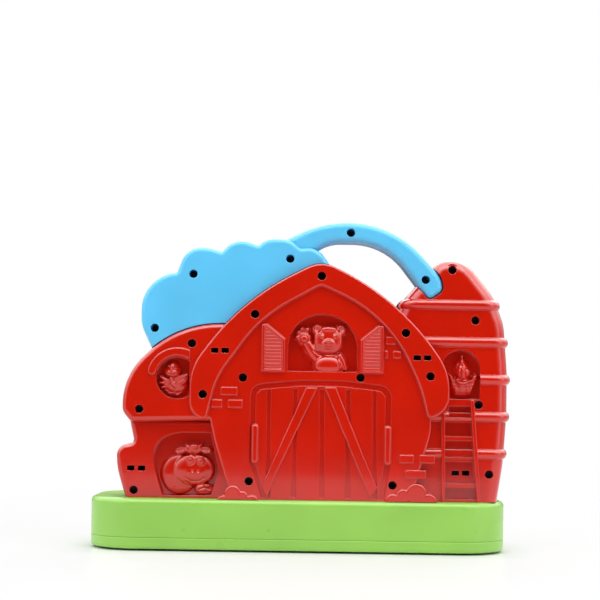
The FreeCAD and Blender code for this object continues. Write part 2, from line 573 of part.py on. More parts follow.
def back_shell():
    split, wall, seat = size.split_depth, size.wall, size.seat_depth
    barn, band, stable, silo = size.barn_face, size.band_face, size.stable_face, size.silo_face
    window = size.window_depth
    shell = hollow_shell(silo, barn, stable, barn, band)
    cell_floor = silo - size.ladder_depth
    cups = [slab(outline(grown(BEAR_WINDOW, wall)), barn - window - wall, barn - wall / 2),
            slab(duck_outline(DUCK_RADIUS + wall, BAND_LEFT + 2), barn - window - wall, barn - wall / 2),
            slab(outline(grown(HEN_WINDOW, wall)), silo - window - wall, silo - wall / 2),
            slab(outline([(99.0, 38.5, 0), (131.0, 38.5, 0), (126.0, 108.0, 0), (103.0, 108.0, 0)]),
                 cell_floor - wall, silo - wall / 2),
            slab(outline([(x, max(z, size.base_top), r) for x, z, r in grown(STABLE_RECESS, wall)]),
                 stable - window - wall, stable - wall / 2),
            slab(outline(NOTCH_BLOCK), split, silo - size.silo_round / 2)]
    bosses = [slab(circle(x, z, size.boss_radius), split, face - wall / 2)
              for places, face in ((WALL_SCREWS, barn), (STABLE_SCREWS, stable), (SILO_SCREWS, silo))
              for x, z in places]
    bosses += [post(x, y, size.boss_radius, size.base_top, size.base_top + size.screw_reach + wall)
               for x, y in FOOT_SCREWS_BACK]
    shell = shell.fuse(cups + bosses)
    stand = barn + size.trim_proud
    soft = size.detail_round
    proud = [bush(lobes, stable - wall, size.bush_face, 2 * soft) for lobes in (BUSH_LEFT, BUSH_RIGHT)]
    proud += [rounded_slab(box(*brick, 0.9), silo - wall, stand, soft) for brick in EDGE_BRICKS]
    proud += [rounded_slab(box(*brick, 0.9), barn - wall / 2, stand, soft) for brick in BRICKS]
    proud += [rounded_slab(outline(shutter), barn - wall / 2, stand, soft)
              for shutter in (LEFT_SHUTTER, RIGHT_SHUTTER)]
    proud += [rounded_slab(duck_trim(), barn - wall / 2, stand, soft)]
    proud += [rounded_slab(outline(rail), silo - wall, silo + size.bar_proud, soft) for rail in RAILS]
    shell = shell.fuse(proud)
    groove = slab(outline(FRAME_OUTER), barn - size.frame_groove, barn + 1)
    groove = groove.cut(slab(outline(FRAME_INNER), 0, band))
    planks = [slab(outline([(a, 116.0, 0), (c, 39.0, 0), (d, 39.0, 0), (b, 116.0, 0)]),
                   barn - size.groove_depth, barn + 1) for a, b, c, d in PLANKS]
    shell = shell.cut([groove] + planks)
    braces = [rounded_slab(outline(brace), barn - wall, stand, soft) for brace in BRACES]
    bars = [rounded_slab(box(*bar, 2.2), barn - wall, barn + size.bar_proud, 2.0) for bar in DOOR_BARS]
    shell = shell.fuse(braces + bars)
    cells = [ladder_cell(low + RUNG_HALF, high - RUNG_HALF) for low, high in zip(RUNG_LEVELS, RUNG_LEVELS[1:])]
    cuts = [slab(slot, stand - size.groove_depth, stand + 1) for slot in louvre_slots()]
    cuts += [slab(outline(BEAR_WINDOW), barn - window, band),
             slab(duck_outline(DUCK_RADIUS, BAND_LEFT - 0.3), barn - window, band),
             slab(outline(HEN_WINDOW), silo - window, band).cut(
                 [slab(outline(grown(form, size.rest_gap)), split, band) for form in (BARN, BAND)]),
             slab(outline(STABLE_RECESS), stable - window, stable + 0.5),
             slab(outline(grown(HANDLE_RIGHT, size.rest_gap)), split, band)]
    cuts += [slab(outline(cell), cell_floor, silo + size.ring_proud + 1) for cell in cells]
    cuts += [slab(tongue, split, split + size.tenon_depth + size.rest_gap) for tongue in tongues(size.rest_gap)]
    walls = {"band": (barn - wall, band), "stable": (stable - wall, stable), "ladder": (cell_floor - wall, cell_floor)}
    cuts += [slab(slot_box(x, z), walls[name][0] - 1, walls[name][1] + 1)
             for name, places in TIE_SLOTS.items() for x, z in places]
    cuts += [slab(circle(x, z, size.recess_radius), seat, band + 1) for x, z in ALL_SCREWS]
    cuts += [slab(circle(x, z, size.screw_radius + size.hole_slack), split, seat) for x, z in ALL_SCREWS]
    cuts += [post(x, y, size.screw_radius + size.pilot_slack, size.base_top - 1, size.base_top + size.screw_reach)
             for x, y in FOOT_SCREWS_BACK]
    return shell.cut(cuts).fuse(relief_animals() + inner_rings(cell_floor))


moulding("back_shell", back_shell())

# Play side: doorway, loft window, holes for keys, speaker grille, lugs and bosses

DOORWAY = [(-29.0, 43.0, 1), (59.0, 43.0, 1), (59.0, 108.0, 20), (15.0, 122.0, 40), (-29.0, 108.0, 20)]
LOFT = [(-7.0, 131.0, 1), (39.0, 131.0, 1), (39.0, 170.0, 20), (-7.0, 170.0, 20)]
COW = (15.0, 76.0)
CUB = (16.0, 150.0)
PIG = (-92.0, 66.0)
HEN = (120.5, 136.0)
COW_HEAD = [(-9, -18, 8), (9, -18, 8), (12, -4, 6), (14, 5, 3), (22, 8, 3), (20, 15, 3), (11, 15, 3), (6, 18, 5),
            (-6, 18, 5), (-11, 15, 3), (-20, 15, 3), (-22, 8, 3), (-14, 5, 3), (-12, -4, 6)]
CUB_HEAD = [(-8, -12, 7), (8, -12, 7), (14, -2, 8), (11, 7, 4), (14, 13, 4), (6, 14, 4), (4, 11, 3), (-4, 11, 3),
            (-6, 14, 4), (-14, 13, 4), (-11, 7, 4), (-14, -2, 8)]
PIG_HEAD = [(-9, -12, 7), (9, -12, 7), (15, 0, 9), (12, 8, 3), (14, 15, 2), (6, 12, 2), (-6, 12, 2), (-14, 15, 2),
            (-12, 8, 3), (-15, 0, 9)]
HEN_HEAD = [(-9, -13, 7), (9, -13, 7), (11, 2, 7), (5, 10, 3), (5, 15, 2.4), (-5, 15, 2.4), (-5, 10, 3), (-11, 2, 7)]
DUCK_AXIS = (-97.5, 124.0)
SPEAKER = (114.5, 72.0)
SPEAKER_SCREWS = 3
GRILLE_RINGS = [(0.0, 1), (4.6, 6), (9.2, 12), (13.8, 18)]
KEYS = {  # key: place, head outline, whether it sits in a recess of the barn's front
    "cow_key": (COW, COW_HEAD, True),
    "cub_key": (CUB, CUB_HEAD, True),
    "pig_key": (PIG, PIG_HEAD, False),
    "hen_key": (HEN, HEN_HEAD, False),
}
BOARDS = {  # board: lower left and upper right corners, screws, and whether bosses stand on a recess
    "main_board": ((-9.0, 60.0), (38.5, 160.0), [(-4.0, 65.0), (34.0, 65.0), (-4.0, 141.0), (34.0, 141.0)], True),
    "pig_board": ((-116.0, 53.5), (-68.0, 74.3), [(-112.0, 70.0), (-71.5, 57.5)], False),
    "hen_board": ((107.0, 122.0), (142.0, 162.0), [(112.0, 158.5), (138.5, 126.0)], False),
}
DOOR_LEAVES = {  # leaf: hinge place, free edge, bottom and top
    "left_barn_door": (-33.5, 14.7, 47.5, 108.0),
    "right_barn_door": (63.5, 15.3, 47.5, 108.0),
    "left_shutter": (-11.5, 15.7, 135.5, 160.5),
    "right_shutter": (43.5, 16.3, 135.5, 160.5),
}


def placed(corners, middle, grow=0.0):
    """A head's outline at its place on the wall."""
    return outline(grown([(x + middle[0], z + middle[1], r) for x, z, r in corners], grow))


def wall_inside(in_recess):
    """How far forward the inner side of the wall around a key is."""
    if in_recess:
        return size.barn_front - size.front_recess - size.wall
    return size.wing_front - size.wall


def ring_of(middle, radius, count, phase=0.0):
    """Places spread round a circle."""
    angles = [phase + 2 * math.pi * i / count for i in range(count)]
    return [(middle[0] + radius * math.cos(a), middle[1] + radius * math.sin(a)) for a in angles]


def lug_levels(low, high):
    """Heights of the two lugs around a leaf, each as bottom and top."""
    gap = size.rest_gap
    return [(low - gap - size.lug_height, low - gap), (high + gap, high + gap + size.lug_height)]


def front_shell():
    split, wall = size.split_depth, size.wall
    barn, band, wing = -size.barn_front, -size.band_front, -size.wing_front
    recess = size.front_recess
    shell = hollow_shell(wing, wing, wing, barn, band)
    cups = [slab(outline(grown(shape, wall)), barn + recess + wall, barn + wall / 2) for shape in (DOORWAY, LOFT)]
    bosses = [slab(circle(x, z, size.boss_radius - 0.6), split, face + wall / 2)
              for places, face in ((WALL_SCREWS, barn), (STABLE_SCREWS + SILO_SCREWS, wing)) for x, z in places]
    under_handle = size.handle_front_face - size.rest_gap
    bosses += [slab(circle(*HANDLE_END_SCREW, size.boss_radius), under_handle, wing + wall / 2)]
    bosses += [slab(outline(NOTCH_BLOCK), split, under_handle - wall)]
    bosses += [post(x, y, size.boss_radius, size.base_top, size.base_top + size.screw_reach + wall)
               for x, y in FOOT_SCREWS_FRONT]
    for low, high, screws, in_recess in BOARDS.values():
        inner = wall_inside(in_recess)
        bosses += [slab(circle(x, z, 3.2), size.board_depth, -inner - wall / 2) for x, z in screws]
    speaker_seat = -(wing_inner() - size.flange_thick)
    bosses += [slab(circle(x, z, 3.0), speaker_seat, wing + wall / 2)
               for x, z in ring_of(SPEAKER, size.speaker_radius + 3.4, SPEAKER_SCREWS, 0.5)]
    bosses += [slab(circle(*DUCK_AXIS, size.axle_radius + wall), -wing_inner() + 6.0, wing + wall / 2)]
    for hinge, free, low, high in DOOR_LEAVES.values():
        reach = size.knuckle_radius
        bosses += [Part.makeBox(2 * reach, size.leaf_axis + reach - size.barn_front + wall, top - bottom,
                                V(hinge - reach, size.barn_front - wall, bottom))
                   for bottom, top in lug_levels(low, high)]
    shell = shell.fuse(cups + bosses)
    cuts = [slab(outline(shape), barn + recess, band - 1) for shape in (DOORWAY, LOFT)]
    for middle, head, in_recess in KEYS.values():
        cuts += [slab(placed(head, middle, size.rest_gap), -wall_inside(in_recess) + 1, band)]
    for low, high, screws, in_recess in BOARDS.values():
        cuts += [slab(circle(x, z, size.small_screw + size.pilot_slack), size.board_depth, size.board_depth - 6)
                 for x, z in screws]
    cuts += [slab(circle(x, z, size.screw_radius + size.pilot_slack), split, split - size.screw_reach - 1)
             for x, z in ALL_SCREWS]
    cuts += [slab(circle(*HANDLE_END_SCREW, size.screw_radius + size.pilot_slack), split, size.rest_gap)]
    cuts += [slab(outline(grown(HANDLE_RIGHT, size.rest_gap)), split, under_handle)]
    cuts += [slab(tongue, split, split - size.tenon_depth - size.rest_gap) for tongue in tongues(size.rest_gap)]
    cuts += [post(x, y, size.screw_radius + size.pilot_slack, size.base_top - 1, size.base_top + size.screw_reach)
             for x, y in FOOT_SCREWS_FRONT]
    for radius, count in GRILLE_RINGS:
        cuts += [slab(circle(x, z, size.grille_hole), speaker_seat, band) for x, z in ring_of(SPEAKER, radius, count)]
    cuts += [slab(circle(x, z, size.small_screw + size.pilot_slack), speaker_seat, speaker_seat - 3.2)
             for x, z in ring_of(SPEAKER, size.speaker_radius + 3.4, SPEAKER_SCREWS, 0.5)]
    cuts += [slab(circle(*DUCK_AXIS, size.axle_radius), -wing_inner() + 7.0, band)]
    for hinge, free, low, high in DOOR_LEAVES.values():
        bottom, top = lug_levels(low, high)
        cuts += [post(hinge, size.leaf_axis, size.pin_radius, bottom[0] - 1, top[1] + 1)]
    return shell.cut(cuts)


def wing_inner():
    return size.wing_front - size.wall


moulding("front_shell", front_shell())


# Cloud and handle

CLOUD = CLOUD_TOP + [(10.0, 190.0, 0), (-40.0, 160.0, 0)]
HANDLE = HANDLE_RIGHT + [(-30.6, 181.0, 0), (-8.5, 193.0, 0), (3.0, 209.0, 8)]


def through(place):
    """Clearance hole outline for a shell screw."""
    return circle(*place, size.screw_radius + size.hole_slack)


def round_far_rim(body, name, radius, face, free=lambda point: True):
    """Fillet the rim of a body at one depth, where its edges are free."""
    def chosen(edge):
        found = edge.BoundBox
        flat = max(abs(found.YMin + face), abs(found.YMax + face)) < 0.01
        return flat and free(edge.valueAt((edge.FirstParameter + edge.LastParameter) / 2))
    round_edges(body, name, radius, chosen)


def away_from_red(gap):
    """Test for points of a rim that are further than a gap from the roof and the annex."""
    forms = [flat_face(outline(grown(form, gap + 0.1))) for form in (BAND, BARN, ANNEX)]
    return lambda point: not any(form.isInside(V(point.x, point.z, 0), 0.01, True) for form in forms)


def cloud_half(label, back):
    """One cloud shell. The handle's leg runs through its rim, and a tongue enters the annex."""
    body = new_body(label)
    deep = "cloud_face - split_depth" if back else "split_depth - cloud_front_face"
    leg = "handle_face + rest_gap - split_depth" if back else "split_depth - handle_front_face + rest_gap"
    pad(body, "cloud", [trimmed(CLOUD, size.cloud_gap)], "split_depth", deep, back)
    face = size.cloud_face if back else size.cloud_front_face
    round_far_rim(body, "rim", "shell_round", face, away_from_red(size.cloud_gap))
    pocket(body, "hollow", [trimmed(grown(CLOUD, -size.thin_wall), size.cloud_gap + size.thin_wall)],
           "split_depth", f"{deep} - thin_wall", back)
    pocket(body, "leg_pass", [outline(grown(HANDLE, size.rest_gap))], "split_depth", leg, back)
    pad(body, "bosses", [circle(x, z, size.boss_radius) for x, z in CLOUD_SCREWS],
        "split_depth", f"{deep} - thin_wall / 2", back)
    pad(body, "tongue", [outline(tenon(*CLOUD_TENON, 0.0, 12.0, 6.0, 4.0))], "split_depth", "tenon_depth", back)
    if back:
        pocket(body, "recesses", [circle(x, z, size.recess_radius) for x, z in CLOUD_SCREWS],
               "cloud_face", "cloud_face - seat_depth", False)
        pocket(body, "holes", [through(place) for place in CLOUD_SCREWS],
               "split_depth", "cloud_face - split_depth", True)
    else:
        pocket(body, "pilots", [circle(x, z, size.screw_radius + size.pilot_slack) for x, z in CLOUD_SCREWS],
               "split_depth", "split_depth - cloud_front_face - thin_wall / 2", False)
    return body


def handle_half(label, back):
    """One handle shell: an arch whose leg ends on the roof and whose other end sits in the dome."""
    body = new_body(label)
    deep = "handle_face - split_depth" if back else "split_depth - handle_front_face"
    pad(body, "arch", [trimmed(HANDLE, size.rest_gap)], "split_depth", deep, back)
    face = size.handle_face if back else size.handle_front_face
    round_far_rim(body, "rim", "handle_round", face, away_from_red(size.rest_gap))
    pocket(body, "hollow", [trimmed(grown(HANDLE, -size.thin_wall), size.rest_gap + size.thin_wall)],
           "split_depth", f"{deep} - thin_wall", back)
    places = [HANDLE_SCREW, HANDLE_END_SCREW]
    sleeve = size.boss_radius + size.rest_gap
    pad(body, "bosses", [circle(x, z, size.boss_radius - size.rest_gap) for x, z in places],
        "split_depth", f"{deep} - thin_wall / 2", back)
    pad(body, "sleeve", [circle(*THROUGH_SCREW, sleeve + size.thin_wall)], "split_depth",
        f"{deep} - thin_wall / 2", back)
    pocket(body, "cloud_boss_pass", [circle(*THROUGH_SCREW, sleeve)], "split_depth", deep, back)
    pad(body, "tongue", [outline(tenon(*LEG_TENON, ROOF_ANGLE, 10.0, 5.0, 4.0))], "split_depth", "tenon_depth", back)
    if back:
        pocket(body, "recesses", [circle(x, z, size.recess_radius) for x, z in places],
               "handle_face", "handle_face - seat_depth", False)
        pocket(body, "holes", [through(place) for place in places], "split_depth", "handle_face - split_depth", True)
    else:
        pocket(body, "pilot", [circle(*HANDLE_SCREW, size.screw_radius + size.pilot_slack)],
               "split_depth", f"{deep} - thin_wall / 2", False)
        pocket(body, "hole", [through(HANDLE_END_SCREW)], "split_depth", "split_depth - handle_front_face", False)
    return body


cloud_half("cloud_back", True)
cloud_half("cloud_front", False)
handle_half("handle_back", True)
handle_half("handle_front", False)


# Base: upper shell, lower tray with the battery bay, door, cells and feet

SIDES = (-1, 1)
BASE_SCREWS = [(side * (size.base_half_length - 23.0), y) for side in SIDES for y in (-18.0, 18.0)]
FEET = [(a * (size.base_half_length - 56.0), b * (size.base_half_depth - 16.0)) for a in SIDES for b in SIDES]
SONG_X = [15.0 - size.song_pitch, 15.0, 15.0 + size.song_pitch]
SONG_BOARD = (-66.0, 17.0, 96.0, 43.0)
SONG_BOARD_SCREWS = [(-15.0, 21.0), (45.0, 21.0), (-15.0, 39.0), (45.0, 39.0)]
SWITCH = (size.base_half_length - 30.0, size.base_half_depth - 20.0)
SWITCH_SLOT = (13.0, 4.4)
SWITCH_TRAVEL = 7.0
LEAD_HOLE = (15.0, -6.0)
BAY_HALF = (size.cell_length + size.nub_length + size.spring_length) / 2 + size.plate_thick
BAY_END = "((cell_length + nub_length + spring_length) / 2 + plate_thick)"
DOOR_TAB = (-BAY_HALF - 4.5, -BAY_HALF + 0.5, 8.0, 16.0)
DOOR_LUG = (BAY_HALF + 0.5, BAY_HALF + 12.5, 6.0)
LUG_THICK = 4.0
TAB_THICK = 1.6


def base_outline(grow=0.0):
    half_x, half_y = size.base_half_length + grow, size.base_half_depth + grow
    return box(-half_x, -half_y, half_x, half_y, size.base_corner + grow)


def at_height(edge, height):
    """Whether an edge lies level at that height."""
    return max(abs(edge.BoundBox.ZMin - height), abs(edge.BoundBox.ZMax - height)) < 0.01


def base_upper():
    body = new_body("base_upper")
    pad(body, "block", [base_outline()], "base_parting", "base_top - base_parting", True, "XY_Plane")

    round_edges(body, "rounding", "base_round", lambda edge: at_height(edge, size.base_top))
    round_edges(body, "lower_rim", "parting_round", lambda edge: at_height(edge, size.base_parting))
    pocket(body, "hollow", [base_outline(-size.wall)], "base_parting", "base_top - wall - base_parting",
           True, "XY_Plane")
    pad(body, "tray_bosses", [circle(x, y, size.boss_radius) for x, y in BASE_SCREWS],
        "base_parting", "base_top - wall / 2 - base_parting", True, "XY_Plane")
    pad(body, "board_bosses", [circle(x, y, 3.2) for x, y in SONG_BOARD_SCREWS],
        "song_board_top", "base_top - wall / 2 - song_board_top", True, "XY_Plane")
    openings = [circle(x, size.song_row, size.song_radius + size.rest_gap) for x in SONG_X]
    openings += [circle(x, y, size.screw_radius + size.hole_slack) for x, y in FOOT_SCREWS_BACK + FOOT_SCREWS_FRONT]
    openings += [circle(*LEAD_HOLE, 4.0)]
    half_x, half_y = SWITCH_SLOT[0] / 2, SWITCH_SLOT[1] / 2
    openings += [box(SWITCH[0] - half_x, SWITCH[1] - half_y, SWITCH[0] + half_x, SWITCH[1] + half_y, 1.0)]
    pocket(body, "openings", openings, "base_top", "wall * 2", False, "XY_Plane")
    pocket(body, "tray_pilots", [circle(x, y, size.screw_radius + size.pilot_slack) for x, y in BASE_SCREWS],
           "base_parting", "screw_reach + 2", True, "XY_Plane")
    pocket(body, "board_pilots", [circle(x, y, size.small_screw + size.pilot_slack) for x, y in SONG_BOARD_SCREWS],
           "song_board_top", "6", True, "XY_Plane")
    return body


def bay_box(grow):
    half_x = BAY_HALF + grow
    half_y = size.cell_pitch + size.cell_radius + size.cell_slack + grow
    return box(-half_x, -half_y, half_x, half_y, 1.0)


def lug_outline(grow):
    left, right, half = DOOR_LUG
    return box(left, -half - grow, right + grow, half + grow, 2.0)


def tab_outlines(grow):
    left, right, low, high = DOOR_TAB
    return [box(left - grow, side * low - grow if side > 0 else -high - grow, right,
                side * high + grow if side > 0 else -low + grow) for side in (1, -1)]


def base_lower():
    body = new_body("base_lower")
    up = (True, "XY_Plane")
    pad(body, "tray", [base_outline()], "base_bottom", "base_parting - base_bottom", *up)
    round_edges(body, "upper_rim", "parting_round", lambda edge: at_height(edge, size.base_parting))
    round_edges(body, "lower_rim", "tray_round", lambda edge: at_height(edge, size.base_bottom))
    pocket(body, "hollow", [base_outline(-size.wall)], "base_bottom + wall", "base_parting - base_bottom", *up)
    pad(body, "bay", [bay_box(2 * size.bay_wall)], "base_bottom", "bay_height + wall", *up)
    pad(body, "lug_cup", [box(DOOR_LUG[0], -DOOR_LUG[2] - 3, DOOR_LUG[1] + 3, DOOR_LUG[2] + 3, 3.0)],
        "base_bottom", f"{LUG_THICK} + wall + 8", *up)
    pad(body, "bosses", [circle(x, y, size.boss_radius + 0.6) for x, y in BASE_SCREWS],
        "base_bottom", "base_parting - base_bottom", *up)
    pad(body, "foot_seats", [circle(x, y, size.foot_radius + size.wall) for x, y in FEET],
        "base_bottom", "foot_sunk + wall", *up)
    pocket(body, "bay_inside", [bay_box(0.0)], "base_bottom", "bay_height", *up)
    pocket(body, "door_seat", [bay_box(size.bay_wall)], "base_bottom", "door_thick", *up)
    pocket(body, "tab_slots", tab_outlines(size.rest_gap), "base_bottom + door_thick", f"{TAB_THICK} + rest_gap", *up)
    pocket(body, "lug_seat", [lug_outline(size.rest_gap)], "base_bottom", f"{LUG_THICK}", *up)
    pocket(body, "lug_pilot", [circle(DOOR_LUG[1] - 5, 0, size.screw_radius + size.pilot_slack)],
           f"base_bottom + {LUG_THICK}", "8", *up)
    pocket(body, "recesses", [circle(x, y, size.recess_radius) for x, y in BASE_SCREWS],
           "base_bottom", "base_parting - base_bottom - 3", *up)
    pocket(body, "holes", [circle(x, y, size.screw_radius + size.hole_slack) for x, y in BASE_SCREWS],
           "base_bottom", "base_parting - base_bottom", *up)
    pocket(body, "foot_recesses", [circle(x, y, size.foot_radius + size.rest_gap) for x, y in FEET],
           "base_bottom", "foot_sunk", *up)
    return body


def battery_door():
    body = new_body("battery_door")
    up = (True, "XY_Plane")
    pad(body, "plate", [bay_box(size.bay_wall - size.rest_gap)], "base_bottom", "door_thick", *up)
    pad(body, "tabs", tab_outlines(0.0), "base_bottom + door_thick", f"{TAB_THICK}", *up)
    pad(body, "lug", [lug_outline(0.0)], "base_bottom", f"{LUG_THICK}", *up)
    pocket(body, "bore", [circle(DOOR_LUG[1] - 5, 0, size.screw_radius + size.hole_slack)],
           "base_bottom", f"{LUG_THICK}", *up)
    pocket(body, "counterbore", [circle(DOOR_LUG[1] - 5, 0, size.recess_radius)],
           "base_bottom", "screw_head_height + rest_gap", *up)
    return body


base_upper()
base_lower()
battery_door()

feet = new_body("rubber_feet")
pad(feet, "pads", [circle(x, y, size.foot_radius) for x, y in FEET], "0", "base_bottom + foot_sunk", True, "XY_Plane")

CELL_ROWS = [-size.cell_pitch, 0.0, size.cell_pitch]
cell_height = size.base_bottom + size.door_thick + size.rest_gap + size.cell_radius
cell_end = f"{BAY_END} - plate_thick - nub_length"
cells = new_body("battery_cells")
pad(cells, "cans", [circle(y, cell_height, size.cell_radius) for y in CELL_ROWS], f"{cell_end} - cell_length",
    "cell_length", True, "YZ_Plane")
pad(cells, "nubs", [circle(y, cell_height, 2.7) for y in CELL_ROWS], cell_end, "nub_length", True, "YZ_Plane")


def contact_outlines():
    half = 5.0
    return [box(y - half, cell_height - half, y + half, cell_height + half, 1.0) for y in CELL_ROWS]


plates = new_body("contact_plates")
pad(plates, "plates", contact_outlines(), f"{BAY_END} - plate_thick", "plate_thick", True, "YZ_Plane")

springs = new_body("battery_springs")
pad(springs, "plates", contact_outlines(), f"-{BAY_END}", "plate_thick", True, "YZ_Plane")
spring_foot = f"plate_thick - {BAY_END}"
pad(springs, "coils", [circle(y, cell_height, 4.2) for y in CELL_ROWS], spring_foot, "spring_length", True,
    "YZ_Plane")
pocket(springs, "cores", [circle(y, cell_height, 3.2) for y in CELL_ROWS], spring_foot, "spring_length", True,
       "YZ_Plane")


# Keys, their silicone domes and boards

def wall_key(label, middle, head, in_recess):
    """Animal head key: it fills its hole, has a flange behind the wall and a stem to its dome."""
    inner = wall_inside(in_recess)
    face = inner + size.wall
    body = new_body(label)
    pad(body, "flange", [placed(head, middle, size.key_flange)], f"rest_gap - {inner}", "flange_thick", True)
    pad(body, "head", [placed(head, middle)], f"rest_gap - {inner}", f"key_proud + {face} - {inner} + rest_gap", False)
    round_far_rim(body, "rim", "key_round", -face - size.key_proud)
    pad(body, "stem", [circle(*middle, size.stem_radius)], f"rest_gap - {inner}",
        f"board_depth - dome_height - rest_gap - rest_gap + {inner}", True)
    return body


def wall_dome(label, middle):
    body = new_body(label)
    pad(body, "skirt", [circle(*middle, size.dome_radius + 2.5)], "board_depth", "dome_skirt", False)
    pad(body, "dome", [circle(*middle, size.dome_radius)], "board_depth", "dome_height", False)
    return body


def wall_board(label, low, high, screws):
    body = new_body(label)
    pad(body, "plate", [box(*low, *high, 1.0)], "board_depth", "board_thick", True)
    pocket(body, "holes", [circle(x, z, size.small_screw + size.hole_slack) for x, z in screws],
           "board_depth", "board_thick", True)
    return body


for name, (middle, head, in_recess) in KEYS.items():
    wall_key(name, middle, head, in_recess)
    wall_dome(name.replace("_key", "_dome"), middle)
for name, (low, high, screws, in_recess) in BOARDS.items():
    wall_board(name, low, high, screws)

chips = new_body("board_chips")
pad(chips, "chips", [box(3, 90, 15, 98, 0.5), box(20, 100, 30, 110, 0.5), box(4, 108, 10, 124, 0.5)],
    "board_depth + board_thick", "1.6", True)

for i, x in enumerate(SONG_X, start=1):
    key = new_body(f"song_key_{i}")
    under = "base_top - wall - rest_gap"
    pad(key, "flange", [circle(x, size.song_row, size.song_radius + size.key_flange)], f"{under} - flange_thick",
        "flange_thick", True, "XY_Plane")
    pad(key, "cap", [circle(x, size.song_row, size.song_radius)], under, "wall + rest_gap + song_proud",
        True, "XY_Plane")
    round_edges(key, "rim", "song_round", lambda edge: at_height(edge, size.base_top + size.song_proud))
    pad(key, "stem", [circle(x, size.song_row, size.stem_radius)], f"{under} - flange_thick",
        f"{under} - flange_thick - song_board_top - dome_height - rest_gap", False, "XY_Plane")
    dome = new_body(f"song_dome_{i}")
    pad(dome, "skirt", [circle(x, size.song_row, size.dome_radius + 2.5)], "song_board_top", "dome_skirt",
        True, "XY_Plane")
    pad(dome, "dome", [circle(x, size.song_row, size.dome_radius)], "song_board_top", "dome_height",
        True, "XY_Plane")

song_board = new_body("song_board")
pad(song_board, "plate", [box(*SONG_BOARD, 1.0)], "song_board_top - board_thick", "board_thick", True, "XY_Plane")
pocket(song_board, "holes", [circle(x, y, size.small_screw + size.hole_slack) for x, y in SONG_BOARD_SCREWS],
       "song_board_top", "board_thick", False, "XY_Plane")

switch_case = new_body("switch_case")
pad(switch_case, "case", [box(SWITCH[0] - 11, SWITCH[1] - 5, SWITCH[0] + 11, SWITCH[1] + 5, 1.0)],
    "base_top - wall - 8", "8", True, "XY_Plane")
pocket(switch_case, "track", [box(SWITCH[0] - 7, SWITCH[1] - 2.6, SWITCH[0] + 7, SWITCH[1] + 2.6, 0.5)],
       "base_top - wall", "4", False, "XY_Plane")
switch_knob = new_body("switch_knob")
knob_x = SWITCH[0] - SWITCH_TRAVEL / 2
pad(switch_knob, "foot", [box(knob_x - 2.6, SWITCH[1] - 2.3, knob_x + 2.6, SWITCH[1] + 2.3, 0.4)],
    "base_top - wall - 3.7", "3.4", True, "XY_Plane")
pad(switch_knob, "neck", [box(knob_x - 2.4, SWITCH[1] - 1.9, knob_x + 2.4, SWITCH[1] + 1.9, 0.4)],
    "base_top - wall - 3.7", "wall + 3.7 + 3", True, "XY_Plane")


# Duck wheel, speaker, and the hinged leaves of the doorway and the loft

wheel = new_body("duck_wheel")
pad(wheel, "disc", [circle(*DUCK_AXIS, size.wheel_radius)], "-wing_front - rest_gap", "wheel_thick", False)
pad(wheel, "duck", [placed([(-9, -9, 6), (6, -9, 6), (10, -2, 2), (4, 1, 3), (6, 5, 2), (9, 6, 1), (5, 10, 4),
                            (-2, 10, 4), (-3, 2, 3), (-10, 0, 3)], DUCK_AXIS)],
    "-wing_front - rest_gap - wheel_thick", "trim_proud", False)
pocket(wheel, "bore", [circle(*DUCK_AXIS, size.axle_radius + size.shaft_slack)],
       "-wing_front - rest_gap", "wheel_thick + trim_proud", False)
axle = new_body("duck_axle")
pad(axle, "shaft", [circle(*DUCK_AXIS, size.axle_radius)], "6 - wing_front + wall",
    "6 + wall + wheel_thick + trim_proud + 2 * rest_gap", False)
pad(axle, "head", [circle(*DUCK_AXIS, size.axle_radius + 2)], "-wing_front - wheel_thick - trim_proud - 2 * rest_gap",
    "1.5", False)

speaker_frame = new_body("speaker_frame")
pad(speaker_frame, "rim", [circle(*SPEAKER, size.speaker_radius), circle(*SPEAKER, size.speaker_radius - 2.5)],
    "wall - wing_front", "flange_thick", True)
pad(speaker_frame, "basket", [circle(*SPEAKER, size.speaker_radius - 1), circle(*SPEAKER, size.speaker_radius - 2.5)],
    "wall - wing_front", "7", True)
pad(speaker_frame, "back_plate", [circle(*SPEAKER, size.speaker_radius - 1)], "wall - wing_front + 7", "1.2", True)
pad(speaker_frame, "magnet", [circle(*SPEAKER, 9.5)], "wall - wing_front + 7", "6", True)
speaker_cone = new_body("speaker_cone")
pad(speaker_cone, "surround", [circle(*SPEAKER, size.speaker_radius - 2.8), circle(*SPEAKER, 8.0)],
    "wall - wing_front + 1", "0.8", True)
pad(speaker_cone, "cone", [circle(*SPEAKER, 8.6), circle(*SPEAKER, 7.8)], "wall - wing_front + 1", "4.8", True)
pad(speaker_cone, "cap", [circle(*SPEAKER, 8.0)], "wall - wing_front + 1", "0.8", True)


def leaf(label, hinge, free, low, high):
    """A swinging leaf with a full-height knuckle round its pin."""
    body = new_body(label)
    side = 1 if free > hinge else -1
    front, rear = size.leaf_axis + size.leaf_thick / 2, size.leaf_axis - size.leaf_thick / 2
    left, right = min(hinge, free), max(hinge, free)
    pad(body, "panel", [box(left, rear, right, front)], f"{low}", f"{high} - {low}", True, "XY_Plane")
    round_edges(body, "soft_edges", "leaf_round", lambda edge: True)
    pad(body, "knuckle", [circle(hinge, size.leaf_axis, size.knuckle_radius)], f"{low}", f"{high} - {low}",
        True, "XY_Plane")
    pocket(body, "bore", [circle(hinge, size.leaf_axis, size.pin_radius + size.shaft_slack)], f"{low}",
           f"{high} - {low}", True, "XY_Plane")
    braces = [[(hinge + side * 8, low + 4, 0), (hinge + side * 13, low + 4, 0), (free - side * 4, high - 4, 0),
               (free - side * 9, high - 4, 0)]]
    pad(body, "brace", [outline(brace) for brace in braces], f"{-front}", "groove_depth", False)
    return body


